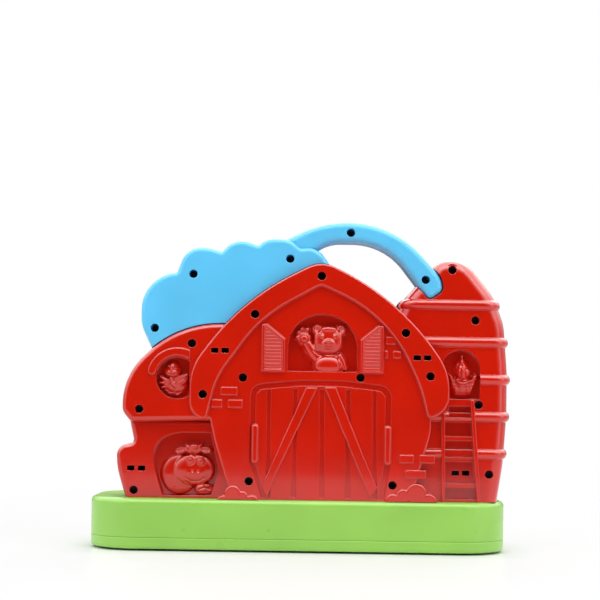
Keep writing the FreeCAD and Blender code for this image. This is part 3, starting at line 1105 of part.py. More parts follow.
for name, (hinge, free, low, high) in DOOR_LEAVES.items():
    leaf(name, hinge, free, low, high)
for name in ("barn_door", "shutter"):
    pins = new_body(f"{name}_pins")
    sides = [DOOR_LEAVES[f"{side}_{name}"] for side in ("left", "right")]
    low, high = sides[0][2], sides[0][3]
    levels = lug_levels(low, high)
    pad(pins, "pins", [circle(hinge, size.leaf_axis, size.pin_radius) for hinge, *_ in sides],
        f"{levels[0][0]}", f"{levels[1][1]} - {levels[0][0]}", True, "XY_Plane")


# Fasteners: a head with a cross recess and a plain shank, grouped by what they hold

def cross(x, z, arm=1.7, half=0.4):
    points = [(-arm, -half), (-half, -half), (-half, -arm), (half, -arm), (half, -half), (arm, -half), (arm, half),
              (half, half), (half, arm), (-half, arm), (-half, half), (-arm, half)]
    return outline([(x + u, z + w, 0) for u, w in points])


def screws(label, places, seat, length, head_ahead, role="XZ_Plane", small=False):
    """Screws with their heads seated at a level. The head lies ahead of or behind the seat."""
    body = new_body(label)
    shank, head = (size.small_screw, size.small_head) if small else (size.screw_radius, size.screw_head_radius)
    sunk = "screw_head_height"
    pad(body, "heads", [circle(*place, head) for place in places], seat, sunk, head_ahead, role)
    pad(body, "shanks", [circle(*place, shank) for place in places], seat, length, not head_ahead, role)
    outer = f"{seat} + {sunk}" if head_ahead else f"{seat} - {sunk}"
    pocket(body, "crosses", [cross(*place) for place in places], outer, "0.9", not head_ahead, role)
    return body


screws("shell_screws", ALL_SCREWS, "seat_depth", "seat_depth - split_depth + screw_reach", True)
screws("cloud_screws", CLOUD_SCREWS, "seat_depth", "seat_depth - split_depth + screw_reach", True)
screws("handle_screw", [HANDLE_SCREW], "seat_depth",
       "seat_depth - handle_front_face - thin_wall / 2 - rest_gap", True)
screws("handle_end_screw", [HANDLE_END_SCREW], "seat_depth", "seat_depth - 2 * rest_gap", True)
screws("foot_screws", FOOT_SCREWS_BACK + FOOT_SCREWS_FRONT, "base_top - wall", "wall + screw_reach - 0.5", False,
       "XY_Plane")
screws("base_screws", BASE_SCREWS, "base_parting - 3", "3 + screw_reach", False, "XY_Plane")
screws("door_screw", [(DOOR_LUG[1] - 5, 0.0)], "base_bottom + screw_head_height + rest_gap",
       f"{LUG_THICK} + 5", False, "XY_Plane")
screws("board_screws", [place for low, high, places, recess in BOARDS.values() for place in places],
       "board_depth + board_thick", "board_thick + 5", True, small=True)
screws("song_board_screws", SONG_BOARD_SCREWS, "song_board_top - board_thick", "board_thick + 5", False,
       "XY_Plane", small=True)
screws("speaker_screws", ring_of(SPEAKER, size.speaker_radius + 3.4, SPEAKER_SCREWS, 0.5),
       "wall + flange_thick - wing_front", "3", True, small=True)


# Check every object, then write one file for each sub-part

doc.recompute()
for item in doc.Objects:
    if "Invalid" in item.State or "Error" in item.State:
        raise RuntimeError(f"{item.Name} did not compute: {item.State}")
    base = getattr(item, "BaseFeature", None)
    if item.TypeId in ("PartDesign::Pad", "PartDesign::Pocket") and base is not None:
        change = item.Shape.Volume - base.Shape.Volume
        if (change if item.TypeId == "PartDesign::Pad" else -change) < 0.01:
            raise RuntimeError(f"{item.Name} changes nothing")
os.makedirs("parts", exist_ok=True)
for item in doc.Objects:
    if item.TypeId in ("Part::Feature", "PartDesign::Body"):
        if item.Shape.isNull() or not item.Shape.isValid():
            raise RuntimeError(f"{item.Label} has no valid shape")
        item.Shape.exportStep(f"parts/{item.Label}.step")
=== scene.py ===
"""Looks of a farm toy that talks: gloss red barn and silo, sky-blue cloud and handle, light-green base.
The screw side carries sculpted animals in recesses, and the play side has coloured keys and a wheel.

Shapes are given in millimetres, which MM turns into metres; materials, lamps and the floor are given in
metres. The frame is the CAD model's: +X along the toy, +Y towards the play side, +Z up, and the table at
Z = 0."""

import math

import bmesh
import bpy
from mathutils import Matrix, Vector


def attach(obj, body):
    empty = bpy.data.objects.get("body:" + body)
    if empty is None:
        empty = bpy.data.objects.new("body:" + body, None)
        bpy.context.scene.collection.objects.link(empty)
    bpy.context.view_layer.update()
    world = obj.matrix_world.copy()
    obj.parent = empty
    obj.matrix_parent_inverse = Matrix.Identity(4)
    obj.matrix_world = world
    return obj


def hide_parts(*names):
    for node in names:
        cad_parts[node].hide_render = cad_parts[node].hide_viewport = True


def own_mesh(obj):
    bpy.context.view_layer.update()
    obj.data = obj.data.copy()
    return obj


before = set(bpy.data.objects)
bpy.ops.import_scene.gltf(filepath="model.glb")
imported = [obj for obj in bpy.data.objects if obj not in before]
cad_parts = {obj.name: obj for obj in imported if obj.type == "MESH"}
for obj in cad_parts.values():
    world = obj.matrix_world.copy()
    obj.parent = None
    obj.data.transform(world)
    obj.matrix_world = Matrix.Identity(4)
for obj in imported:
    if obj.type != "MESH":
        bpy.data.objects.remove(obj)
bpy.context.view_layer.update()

MM = 0.001
SCREW_SIDE, PLAY_SIDE = -1, 1


# Nodes


def fill(tree, node, held):
    """Gives inputs of a node their values, each another node's output or a fixed one."""
    for socket, value in held.items():
        if isinstance(value, bpy.types.NodeSocket):
            tree.links.new(value, node.inputs[socket])
        else:
            node.inputs[socket].default_value = value


def add(tree, kind, held=None, **settings):
    """A node of that kind with its settings and inputs."""
    made = tree.nodes.new(kind)
    for name, value in settings.items():
        setattr(made, name, value)
    fill(tree, made, held or {})
    return made


def number(tree, operation, *held):
    """A number worked out from one or two others."""
    return add(tree, "ShaderNodeMath", dict(enumerate(held)), operation=operation).outputs["Value"]


def vector(tree, operation, *held):
    """A vector worked out from one or two others."""
    return add(tree, "ShaderNodeVectorMath", dict(enumerate(held)), operation=operation).outputs["Vector"]


def length(tree, arrow):
    """How long a vector is."""
    return add(tree, "ShaderNodeVectorMath", {0: arrow}, operation="LENGTH").outputs["Value"]


def mixed(tree, share, first, second):
    """The first number where share is 0, the second where it is 1."""
    held = {"Factor": share, "A": first, "B": second}
    return add(tree, "ShaderNodeMix", held, data_type="FLOAT").outputs["Result"]


def between(tree, value, low, high, start=0.3, end=0.7):
    """value turned from the span start to end into the span low to high."""
    held = {"Value": value, "From Min": start, "From Max": end, "To Min": low, "To Max": high}
    return add(tree, "ShaderNodeMapRange", held).outputs["Result"]


def noise(tree, scale, detail):
    """Noise over the part's own coordinates, in features per metre."""
    place = tree.nodes.get("place") or add(tree, "ShaderNodeTexCoord", name="place")
    held = {"Scale": scale, "Detail": detail, "Vector": place.outputs["Object"]}
    return add(tree, "ShaderNodeTexNoise", held).outputs["Fac"]


def mottled(tree, value, dark, light, start=0.0, end=1.0):
    """Colours from dark to light as value goes from start to end."""
    ramp = add(tree, "ShaderNodeValToRGB", {"Fac": value})
    for stop, place, colour in zip(ramp.color_ramp.elements, (start, end), (dark, light)):
        stop.position = place
        stop.color = colour
    return ramp.outputs["Color"]


def bump(tree, height, distance, strength, below=None):
    """The normal below, or else the surface's own, with bumps of that height laid over it."""
    made = add(tree, "ShaderNodeBump", {"Height": height, "Distance": distance, "Strength": strength})
    if below:
        fill(tree, made, {"Normal": below})
    return made.outputs["Normal"]


def ray_is(tree, *kinds):
    """1 for a ray of one of those kinds, as Light Path names them, and 0 for any other."""
    path = add(tree, "ShaderNodeLightPath")
    found = path.outputs[kinds[0]]
    for kind in kinds[1:]:
        found = number(tree, "MAXIMUM", found, path.outputs[kind])
    return found


# Materials

GAMMA = 2.2
EDGE_ROUND = 0.0009


def linear(red, green, blue):
    """A colour given as 0 to 255 levels, in the linear values that the shader takes."""
    return tuple((level / 255) ** GAMMA for level in (red, green, blue)) + (1.0,)


def shaded(colour, share):
    """The same colour, darker or lighter by that share."""
    return tuple(min(1.0, level * share) for level in colour[:3]) + (1.0,)


def finish_of(name):
    """A new material with its tree and shader."""
    material = bpy.data.materials.new(name)
    material.use_nodes = True
    tree = material.node_tree
    return material, tree, tree.nodes["Principled BSDF"]


def moulded(name, colour, rough=(0.16, 0.24), coat=0.5, mottle=0.06, glow=0.0):
    """Injection-moulded plastic, a little uneven in colour and gloss, with flow waves and a fine grain.
    Its sharp edges are shaded as if they were rounded by EDGE_ROUND."""
    material, tree, shader = finish_of(name)
    dark, light = shaded(colour, 1 - mottle), shaded(colour, 1 + mottle)
    edges = add(tree, "ShaderNodeBevel", {"Radius": EDGE_ROUND}, samples=6).outputs["Normal"]
    flow = bump(tree, noise(tree, scale=34, detail=2), distance=0.00002, strength=1.0, below=edges)
    grain = bump(tree, noise(tree, scale=1400, detail=2), distance=0.000012, strength=0.6, below=flow)
    fill(tree, shader, {
        "Base Color": mottled(tree, noise(tree, scale=26, detail=1), dark, light, start=0.25, end=0.75),
        "Roughness": between(tree, noise(tree, scale=70, detail=1), *rough, start=0.2, end=0.8),
        "Normal": grain,
        "Coat Weight": coat,
        "Coat Roughness": 0.05,
        "Subsurface Weight": glow,
        "Subsurface Radius": (0.004, 0.002, 0.001),
    })
    return material


def plated(name, colour, rough=(0.22, 0.38)):
    """Plated steel with fine marks and dulled patches."""
    material, tree, shader = finish_of(name)
    marks = bump(tree, noise(tree, scale=4000, detail=2), distance=0.00002, strength=0.5)
    fill(tree, shader, {
        "Base Color": mottled(tree, noise(tree, scale=500, detail=6), shaded(colour, 0.7), colour),
        "Roughness": between(tree, noise(tree, scale=900, detail=4), *rough),
        "Normal": marks,
        "Metallic": 1.0,
    })
    return material


PLASTICS = {
    "red_shell": dict(colour=linear(194, 31, 13), rough=(0.09, 0.14)),
    "blue_shell": dict(colour=linear(90, 188, 234), rough=(0.30, 0.42), coat=0.1),
    "green_base": dict(colour=linear(139, 194, 80), rough=(0.26, 0.38), coat=0.12),
    "foot_rubber": dict(colour=linear(38, 38, 38), rough=(0.55, 0.75), coat=0.0),
    "silicone": dict(colour=linear(205, 205, 200), rough=(0.4, 0.55), coat=0.0, glow=0.2),
    "black_plastic": dict(colour=linear(34, 34, 34), rough=(0.35, 0.5), coat=0.0),
    "board_green": dict(colour=linear(28, 98, 52), rough=(0.25, 0.4)),
    "cell_jacket": dict(colour=linear(60, 62, 66), rough=(0.2, 0.35)),
    "speaker_paper": dict(colour=linear(42, 40, 38), rough=(0.7, 0.85), coat=0.0),
    "white_plastic": dict(colour=linear(238, 236, 228), mottle=0.025, glow=0.08),
    "brown_plastic": dict(colour=linear(150, 92, 48), glow=0.05),
    "pink_plastic": dict(colour=linear(244, 168, 182), mottle=0.03, glow=0.08),
    "yellow_plastic": dict(colour=linear(250, 205, 48), mottle=0.03, glow=0.06),
    "orange_plastic": dict(colour=linear(242, 130, 38), mottle=0.04, glow=0.06),
    "purple_plastic": dict(colour=linear(142, 88, 178), mottle=0.04, glow=0.06),
}
STEELS = {
    "contact_steel": dict(colour=linear(205, 205, 208)),
    "screw_steel": dict(colour=linear(52, 52, 56), rough=(0.3, 0.5)),
}
FINISHES = {name: moulded(name, **look) for name, look in PLASTICS.items()}
FINISHES.update((name, plated(name, **look)) for name, look in STEELS.items())

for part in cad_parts.values():
    for place, held in enumerate(part.data.materials):
        part.data.materials[place] = FINISHES[held.name.split(".")[0]]
    flat = part.modifiers.new("flat_faces", "WEIGHTED_NORMAL")
    flat.keep_sharp = True
    flat.weight = 80


# Forms of a relief: each gives its height over a plane at the point (u, v), and 0 outside itself


def within(box, u, v):
    """Whether the point lies in the box."""
    low_u, low_v, high_u, high_v = box
    return low_u < u < high_u and low_v < v < high_v


def span(points, reach):
    """The box around a run of points, grown by reach."""
    across, up = [point[0] for point in points], [point[1] for point in points]
    return min(across) - reach, min(up) - reach, max(across) + reach, max(up) + reach


def nearest(points, u, v):
    """Distance from (u, v) to a run of points, and how far along the run, 0 to 1."""
    best = (math.inf, 0.0)
    steps = len(points) - 1
    for i in range(steps):
        (u0, v0), (u1, v1) = points[i], points[i + 1]
        du, dv = u1 - u0, v1 - v0
        along = min(1.0, max(0.0, ((u - u0) * du + (v - v0) * dv) / (du * du + dv * dv)))
        best = min(best, (math.hypot(u - u0 - along * du, v - v0 - along * dv), (i + along) / steps))
    return best


def egg(u0, v0, half_u, half_v, height, lean=0.0, start=0.0, power=2.0):
    """A rounded form: start at its rim, height at its middle, turned by lean degrees from u towards v.
    A power above 2 makes its outline squarer."""
    cosine, sine = math.cos(math.radians(lean)), math.sin(math.radians(lean))

    def level(u, v):
        a = abs((u - u0) * cosine + (v - v0) * sine) / half_u
        b = abs((v - v0) * cosine - (u - u0) * sine) / half_v
        if a >= 1 or b >= 1:
            return 0.0
        far = a ** power + b ** power
        return start + (height - start) * math.sqrt(1 - far) if far < 1 else 0.0
    return level


def limb(points, wide, narrow, height, start=0.0):
    """A rounded run through points, wide at its first and narrow at its last."""
    box = span(points, max(wide, narrow))

    def level(u, v):
        if not within(box, u, v):
            return 0.0
        gap, along = nearest(points, u, v)
        reach = wide + (narrow - wide) * along
        return start + (height - start) * math.sqrt(1 - (gap / reach) ** 2) if gap < reach else 0.0
    return level


def crease(points, half_width, rise):
    """A ridge laid over the forms, or a groove where rise is negative."""
    box = span(points, half_width)

    def change(u, v):
        if not within(box, u, v):
            return 0.0
        gap = nearest(points, u, v)[0]
        return rise * (1 - (gap / half_width) ** 2) ** 2 if gap < half_width else 0.0
    return change


RING_STEPS = 16


def ring(u0, v0, radius, half_width, rise, first=0, last=360):
    """A ridge or groove along a circle, or along its part between two angles in degrees."""
    turns = [math.radians(first + (last - first) * i / RING_STEPS) for i in range(RING_STEPS + 1)]
    return crease([(u0 + radius * math.cos(t), v0 + radius * math.sin(t)) for t in turns], half_width, rise)


def inside(corners, u, v):
    """How far inside a convex outline the point is, negative outside it; corners run anticlockwise."""
    gaps = []
    for (u0, v0), (u1, v1) in zip(corners, corners[1:] + corners[:1]):
        side = math.hypot(u1 - u0, v1 - v0)
        gaps.append(((u1 - u0) * (v - v0) - (v1 - v0) * (u - u0)) / side)
    return min(gaps)


def slatted(corners, band=2.6, pitch=2.45, foot=1.2, proud=2.3, slat_top=1.45, slat_rise=0.8):
    """A half-round frame along the outline, from foot to proud, and slats within it that come out by
    slat_rise towards their lower edge."""
    def level(u, v):
        deep = inside(corners, u, v)
        if deep <= 0:
            return 0.0
        if deep < band:
            return foot + (proud - foot) * math.sqrt(max(0.0, 1 - (1 - 2 * deep / band) ** 2))
        up = (v - corners[0][1]) % pitch / pitch
        return slat_top + slat_rise * (1 - up)
    return level


# Planes: each places the point (u, v) of a relief, and says which way the relief's faces are wound


def upright(y, facing, middle=(0.0, 0.0)):
    """An upright plane at y that faces the screw side or the play side: u along X and v up from middle."""
    def place(u, v, level):
        return (middle[0] + u) * MM, (y + facing * level) * MM, (middle[1] + v) * MM
    return place, facing


def key_top(z, middle):
    """A level plane at z: u along X and v along Y from middle. Its faces are wound downwards."""
    def place(u, v, level):
        return (middle[0] + u) * MM, (middle[1] + v) * MM, (z + level) * MM
    return place, PLAY_SIDE


# Pieces

# The least that creases leave of a form, the height up to which a point counts as outside the forms, and
# the level at which the outside points of a rim are sunk in the wall
SHALLOWEST, RIM, SUNK = 0.1, 0.03, -0.15
# How much wider all round, and how much prouder, a form is than the lump of the CAD model that it hides
COVER_AROUND, COVER_OUT = 0.3, 0.2


def piece_of(name, mesh, finish, body):
    """The finished mesh as a piece with its finish, riding on a body."""
    data = bpy.data.meshes.new(name)
    mesh.to_mesh(data)
    mesh.free()
    data.materials.append(FINISHES[finish])
    piece = bpy.data.objects.new(name, data)
    bpy.context.scene.collection.objects.link(piece)
    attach(piece, body)
    return piece


def softened(rows):
    """Each height averaged with its neighbours in the row, itself counted twice."""
    return [[(row[max(i - 1, 0)] + 2 * row[i] + row[min(i + 1, len(row) - 1)]) / 4 for i in range(len(row))]
            for row in rows]


def turned(rows):
    """The columns of a table as rows."""
    return [list(column) for column in zip(*rows)]


def relief(name, corners, plane, forms, creases, finish="red_shell", body="housing", step=0.4):
    """A sculpted surface between two corners of a plane: at each point the tallest of the forms, with the
    creases laid over it."""
    place, facing = plane
    low_u, low_v, high_u, high_v = corners
    wide, tall = round((high_u - low_u) / step) + 1, round((high_v - low_v) / step) + 1

    def height(u, v):
        level = max(form(u, v) for form in forms)
        return max(SHALLOWEST, level + sum(change(u, v) for change in creases)) if level > 0 else 0.0

    levels = [[height(low_u + i * step, low_v + j * step) for i in range(wide)] for j in range(tall)]
    levels = turned(softened(turned(softened(levels))))
    mesh = bmesh.new()
    made = {}

    def corner(i, j):
        if (i, j) not in made:
            level = levels[j][i] if levels[j][i] > RIM else SUNK
            made[i, j] = mesh.verts.new(place(low_u + i * step, low_v + j * step, level))
        return made[i, j]

    for j in range(tall - 1):
        for i in range(wide - 1):
            around = [(i, j), (i + 1, j), (i + 1, j + 1), (i, j + 1)]
            if max(levels[b][a] for a, b in around) > RIM:
                mesh.faces.new([corner(a, b) for a, b in (around if facing < 0 else around[::-1])])
    piece_of(name, mesh, finish, body).data.shade_smooth()


def under(lumps):
    """Forms that hide the plain lumps of the CAD model; a lump is its place, half sizes, height and lean."""
    return [egg(x, z, half_x + COVER_AROUND, half_z + COVER_AROUND, proud + COVER_OUT, lean)
            for x, z, half_x, half_z, proud, lean in lumps]


# The four animals of the screw side, each in its recess

LOFT_FLOOR = upright(-38.5, SCREW_SIDE)
SILO_FLOOR = upright(-32.0, SCREW_SIDE)
STABLE_FLOOR = upright(-30.5, SCREW_SIDE)

relief("cub_relief", (-6, 126, 37, 165), LOFT_FLOOR, under([
    (20.1, 151.1, 10.5, 9.5, 5, 0), (21.5, 135, 12, 9, 5, 0), (7.2, 142.4, 4.4, 9, 4, 38),
    (2.8, 151.6, 4.6, 5.2, 4.5, 0), (12.4, 158.6, 3.6, 3.6, 3.5, 0), (27.8, 158.6, 3.6, 3.6, 3.5, 0),
]) + [
    # Body and the arm that hangs
    egg(20.4, 132.0, 11.2, 10.4, 5.6, start=2.5, power=2.8),
    egg(20.3, 133.0, 9.8, 6.6, 8.3, start=5.4, power=2.1),
    limb([(28.0, 140.0), (30.6, 135.5), (32.2, 131.0)], 2.6, 2.2, 5.8, start=3.0),
    # Raised arm, palm and toes
    limb([(12.5, 138.5), (8.6, 143.0), (5.4, 148.0)], 4.4, 3.6, 5.6, start=2.5),
    egg(2.9, 152.2, 5.3, 5.2, 6.2, start=2.5), egg(3.0, 151.6, 2.9, 2.9, 7.2, start=6.2),
    egg(-2.0, 152.8, 1.9, 1.9, 5.8, start=2.5), egg(-1.2, 156.2, 1.9, 1.9, 6.2, start=2.5),
    egg(1.3, 158.7, 2.0, 2.0, 6.4, start=2.5), egg(5.1, 158.3, 2.1, 2.1, 6.4, start=2.5),
    # Ears, head and forehead
    egg(12.2, 158.2, 4.2, 4.3, 5.8, start=2.5), egg(29.0, 158.2, 4.2, 4.3, 5.8, start=2.5),
    egg(20.1, 151.2, 10.4, 10.0, 7.2, start=3.5, power=2.5),
    egg(20.3, 158.4, 6.4, 2.6, 7.4, start=4.5),
    # Muzzle, nose and eyes
    egg(20.2, 148.4, 4.6, 3.8, 8.4, start=6.8, power=2.0),
    egg(20.2, 150.2, 1.7, 1.2, 9.2, start=8.0),
    egg(15.6, 153.6, 1.2, 1.6, 8.0, start=6.8), egg(24.8, 153.6, 1.2, 1.6, 8.0, start=6.8),
], [
    crease([(20.2, 149.2), (20.2, 147.4)], 0.5, -0.9),
    crease([(18.2, 147.2), (20.2, 146.6), (22.2, 147.2)], 0.5, -0.9),
    crease([(12.1, 158.5), (12.4, 158.3)], 2.6, -2.0), crease([(29.2, 158.5), (28.9, 158.3)], 2.6, -2.0),
    crease([(10.4, 143.4), (14.0, 141.2), (20.3, 140.2), (26.6, 141.2), (30.0, 143.4)], 0.8, -2.0),
    crease([(27.2, 138.6), (28.2, 135.0), (28.8, 130.5)], 0.8, -1.2),
    ring(3.0, 151.6, 3.1, 0.6, -0.8),
])

relief("duck_relief", (-101, 109, -76, 136), LOFT_FLOOR, under([
    (-90.2, 130, 4.8, 4.8, 4.5, 0), (-86.8, 118, 8, 7, 5, 0),
]) + [
    # Head, cheeks, the two parts of the beak, and eyes
    egg(-90.1, 130.0, 4.2, 4.3, 5.8, start=2.5), egg(-90.5, 127.0, 6.1, 4.0, 5.8, start=2.5, power=2.2),
    egg(-90.5, 126.3, 4.4, 2.7, 7.4, start=6.0),
    limb([(-90.9, 129.4), (-90.6, 126.4)], 0.9, 1.5, 8.2, start=6.6),
    egg(-92.5, 130.8, 0.9, 1.0, 7.2, start=6.0), egg(-87.9, 130.8, 0.9, 1.0, 7.2, start=6.0),
    # Body and the wing laid on it
    egg(-87.5, 118.2, 8.0, 6.0, 5.6, start=2.5, power=2.2),
    egg(-84.6, 120.2, 7.0, 3.6, 6.8, lean=35, start=4.5),
    limb([(-88.6, 121.7), (-84.0, 123.7), (-79.6, 124.9)], 1.0, 1.2, 7.4, start=5.5),
    # Feathers of the lifted wing
    limb([(-94.0, 120.6), (-98.7, 123.4)], 2.2, 1.3, 5.6, start=2.5),
    limb([(-94.0, 118.6), (-99.0, 119.2)], 1.9, 1.1, 5.0, start=2.5),
    limb([(-93.6, 116.8), (-97.8, 115.8)], 1.7, 1.0, 4.6, start=2.5),
    # Feet
    limb([(-95.4, 114.4), (-93.6, 113.0), (-92.4, 111.6), (-90.2, 111.6)], 0.8, 1.0, 3.6, start=2.0),
    limb([(-88.6, 111.8), (-87.2, 110.6), (-85.2, 111.3), (-83.6, 112.8)], 0.9, 0.7, 3.6, start=2.0),
], [
    crease([(-94.4, 126.6), (-92.4, 125.0), (-88.6, 125.0), (-86.6, 126.4)], 0.6, -1.2),
    crease([(-91.6, 121.6), (-91.9, 117.6), (-88.6, 114.8)], 0.7, -1.2),
    crease([(-85.6, 118.2), (-81.6, 120.6)], 0.5, -0.7), crease([(-86.8, 119.8), (-82.0, 122.6)], 0.5, -0.7),
])

relief("hen_relief", (105, 112, 129, 144), SILO_FLOOR, under([
    (115.8, 132.4, 5.2, 7.4, 4.5, 0), (116.2, 119.4, 8.6, 7.4, 5, 0),
]) + [
    # Comb, head, face, beak, wattle and eyes
    limb([(115.9, 138.0), (115.9, 141.5)], 1.4, 0.9, 5.4, start=3.0),
    limb([(115.9, 137.0), (117.0, 130.0)], 1.7, 5.6, 5.8, start=2.5),
    egg(115.8, 129.6, 3.2, 4.4, 6.6, start=5.0),
    limb([(116.2, 132.6), (116.8, 129.4)], 0.8, 1.8, 8.0, start=6.4),
    egg(117.0, 127.0, 1.8, 1.7, 7.2, start=6.0),
    egg(114.2, 133.4, 0.8, 0.9, 6.6, start=5.0), egg(118.6, 133.2, 0.8, 0.9, 6.6, start=5.0),
    # Body and the V at its neck
    egg(116.6, 119.3, 6.8, 4.9, 5.6, start=2.5, power=2.2),
    limb([(111.4, 124.2), (113.8, 122.4), (116.6, 121.7)], 0.6, 1.1, 7.0, start=5.2),
    limb([(122.4, 124.2), (119.6, 122.4), (116.6, 121.7)], 0.6, 1.1, 7.0, start=5.2),
    # Spread wings and their tips
    limb([(107.4, 127.2), (109.0, 124.4), (110.6, 120.6), (112.2, 117.4)], 1.4, 2.6, 5.2, start=2.5),
    limb([(126.1, 126.8), (124.6, 124.2), (123.2, 121.0), (121.4, 117.6)], 1.7, 2.7, 5.2, start=2.5),
    egg(108.2, 126.8, 2.2, 1.1, 6.2, lean=-42, start=4.0),
    egg(125.2, 126.8, 2.4, 1.2, 6.2, lean=22, start=4.0),
    # Feet
    egg(112.0, 114.7, 1.4, 1.3, 3.8, start=2.0), egg(121.8, 114.9, 1.4, 1.2, 3.8, start=2.0),
], [
    crease([(112.6, 119.0), (114.6, 117.4), (116.6, 119.0), (118.6, 117.4), (120.6, 119.0)], 0.6, -0.9),
    crease([(108.8, 122.6), (110.6, 121.8)], 0.5, -0.8), crease([(110.0, 119.8), (111.6, 119.2)], 0.5, -0.8),
    crease([(124.8, 122.2), (123.0, 121.6)], 0.5, -0.8), crease([(123.8, 119.4), (122.0, 119.0)], 0.5, -0.8),
])

relief("stable_relief", (-100, 38.8, -58, 78), STABLE_FLOOR, under([
    (-73.5, 57.7, 12.8, 10.6, 5, 0), (-85.4, 55, 13.4, 13, 4, 0), (-70, 44.6, 5, 3.2, 3.5, 0),
]) + [
    # Body, head and the front foot
    egg(-85.2, 53.8, 12.6, 14.0, 5.0, start=2.5, power=2.1),
    egg(-74.4, 57.3, 14.3, 11.0, 7.6, start=4.4, power=2.2),
    egg(-66.9, 43.4, 6.8, 4.0, 6.0, start=3.4, power=2.4), egg(-65.2, 46.1, 2.8, 1.4, 7.2, start=5.6),
    # Ears, and the hay on its head
    egg(-84.2, 71.0, 4.7, 2.9, 5.8, lean=14, start=3.0), egg(-65.9, 71.4, 4.4, 3.3, 6.2, lean=-8, start=3.0),
    egg(-75.2, 72.2, 6.8, 4.0, 6.6, start=4.0), egg(-74.2, 73.9, 3.6, 2.0, 7.8, start=6.0),
    limb([(-80.4, 73.0), (-80.3, 75.7)], 1.2, 0.8, 6.2, start=3.5),
    limb([(-70.6, 73.8), (-69.3, 76.0)], 1.2, 0.8, 6.6, start=3.5),
    # Eyes and snout
    egg(-77.2, 63.8, 2.1, 2.6, 8.1, start=7.2), egg(-69.2, 63.5, 2.1, 2.5, 8.1, start=7.2),
    egg(-73.6, 55.6, 6.6, 4.4, 8.0, start=7.0),
], [
    # Around the eyes, a dent in the forehead, nostrils and mouth
    ring(-77.2, 63.8, 3.0, 0.6, -0.5), ring(-69.2, 63.5, 2.9, 0.6, -0.5),
    crease([(-76.0, 68.9), (-74.0, 67.6)], 1.2, -1.8),
    crease([(-75.6, 56.6), (-75.4, 55.8)], 0.8, -1.2), crease([(-71.6, 56.4), (-71.4, 55.6)], 0.8, -1.2),
    crease([(-80.6, 51.8), (-76.8, 49.4), (-70.4, 49.4), (-66.6, 51.8)], 0.7, -1.2),
    # Legs and foot
    crease([(-74.3, 46.0), (-74.3, 39.0)], 0.9, -3.0), crease([(-80.0, 49.0), (-75.0, 44.8)], 0.7, -1.6),
    crease([(-70.8, 43.0), (-66.4, 44.7), (-62.6, 43.2)], 0.6, -1.2),
    crease([(-71.0, 41.2), (-66.4, 42.2), (-62.4, 41.2)], 0.5, -0.9),
    # Ears and hay
    crease([(-86.4, 70.6), (-83.0, 71.4)], 1.4, -1.6), crease([(-67.8, 71.6), (-64.4, 71.2)], 1.5, -1.6),
    crease([(-79.0, 74.4), (-77.6, 70.2)], 0.5, -0.8), crease([(-71.6, 74.2), (-72.6, 70.2)], 0.5, -0.8),
    crease([(-73.0, 68.4), (-69.6, 69.2), (-66.4, 68.3)], 0.7, 0.9),
    # A small curl low on the body
    ring(-88.6, 43.4, 1.1, 0.5, 0.6, 30, 330),
])


# The raised shutters beside the loft: a round frame, and slats whose lower edges stand out

BARN_WALL = upright(-46.5, SCREW_SIDE)
SHUTTER_STEP = 0.3

relief("left_shutter_relief", (-28, 127.4, -9.8, 162.4), BARN_WALL, [slatted([
    (-27.3, 127.9), (-10.4, 127.9), (-10.4, 151.4), (-23.0, 161.7), (-27.3, 161.7),
])], [], step=SHUTTER_STEP)
relief("right_shutter_relief", (42.1, 127.0, 60.2, 162.2), BARN_WALL, [slatted([
    (42.7, 127.6), (59.5, 127.6), (59.5, 161.6), (55.0, 161.6), (42.7, 151.4),
])], [], step=SHUTTER_STEP)


# Faces and other low sculpture of the play side, on the pieces they move with

COW, CUB, PIG, HEN = (15.0, 76.0), (16.0, 150.0), (-92.0, 66.0), (120.5, 136.0)
WHEEL = (-97.5, 124.0)
BARN_KEY_FRONT, SIDE_KEY_FRONT, WHEEL_FRONT = 7.5, 9.5, 11.7
FACE_STEP = 0.45
FACE_MARGIN = 0.6


def spot(u, v, half_u, half_v, height, lean=0.0, start=0.4, power=2.0):
    """The box around a rounded form, and the form."""
    reach = max(half_u, half_v)
    return (u - reach, v - reach, u + reach, v + reach), egg(u, v, half_u, half_v, height, lean, start, power)


def pair(u, v, half_u, half_v, height, lean=0.0, start=0.4):
    """The same form on both sides of the middle."""
    return [spot(side * u, v, half_u, half_v, height, side * lean, start) for side in (1, -1)]


def face(key, middle, front, colours, body):
    """Pieces of a face, one for each colour with its spots and creases, placed from its middle."""
    for index, (finish, spots, creases) in enumerate(colours):
        boxes, forms = zip(*spots)
        low_us, low_vs, high_us, high_vs = zip(*boxes)
        corners = (min(low_us) - FACE_MARGIN, min(low_vs) - FACE_MARGIN,
                   max(high_us) + FACE_MARGIN, max(high_vs) + FACE_MARGIN)
        relief(f"{key}_{finish}_{index}", corners, upright(front, PLAY_SIDE, middle), forms, creases,
               finish, body, FACE_STEP)


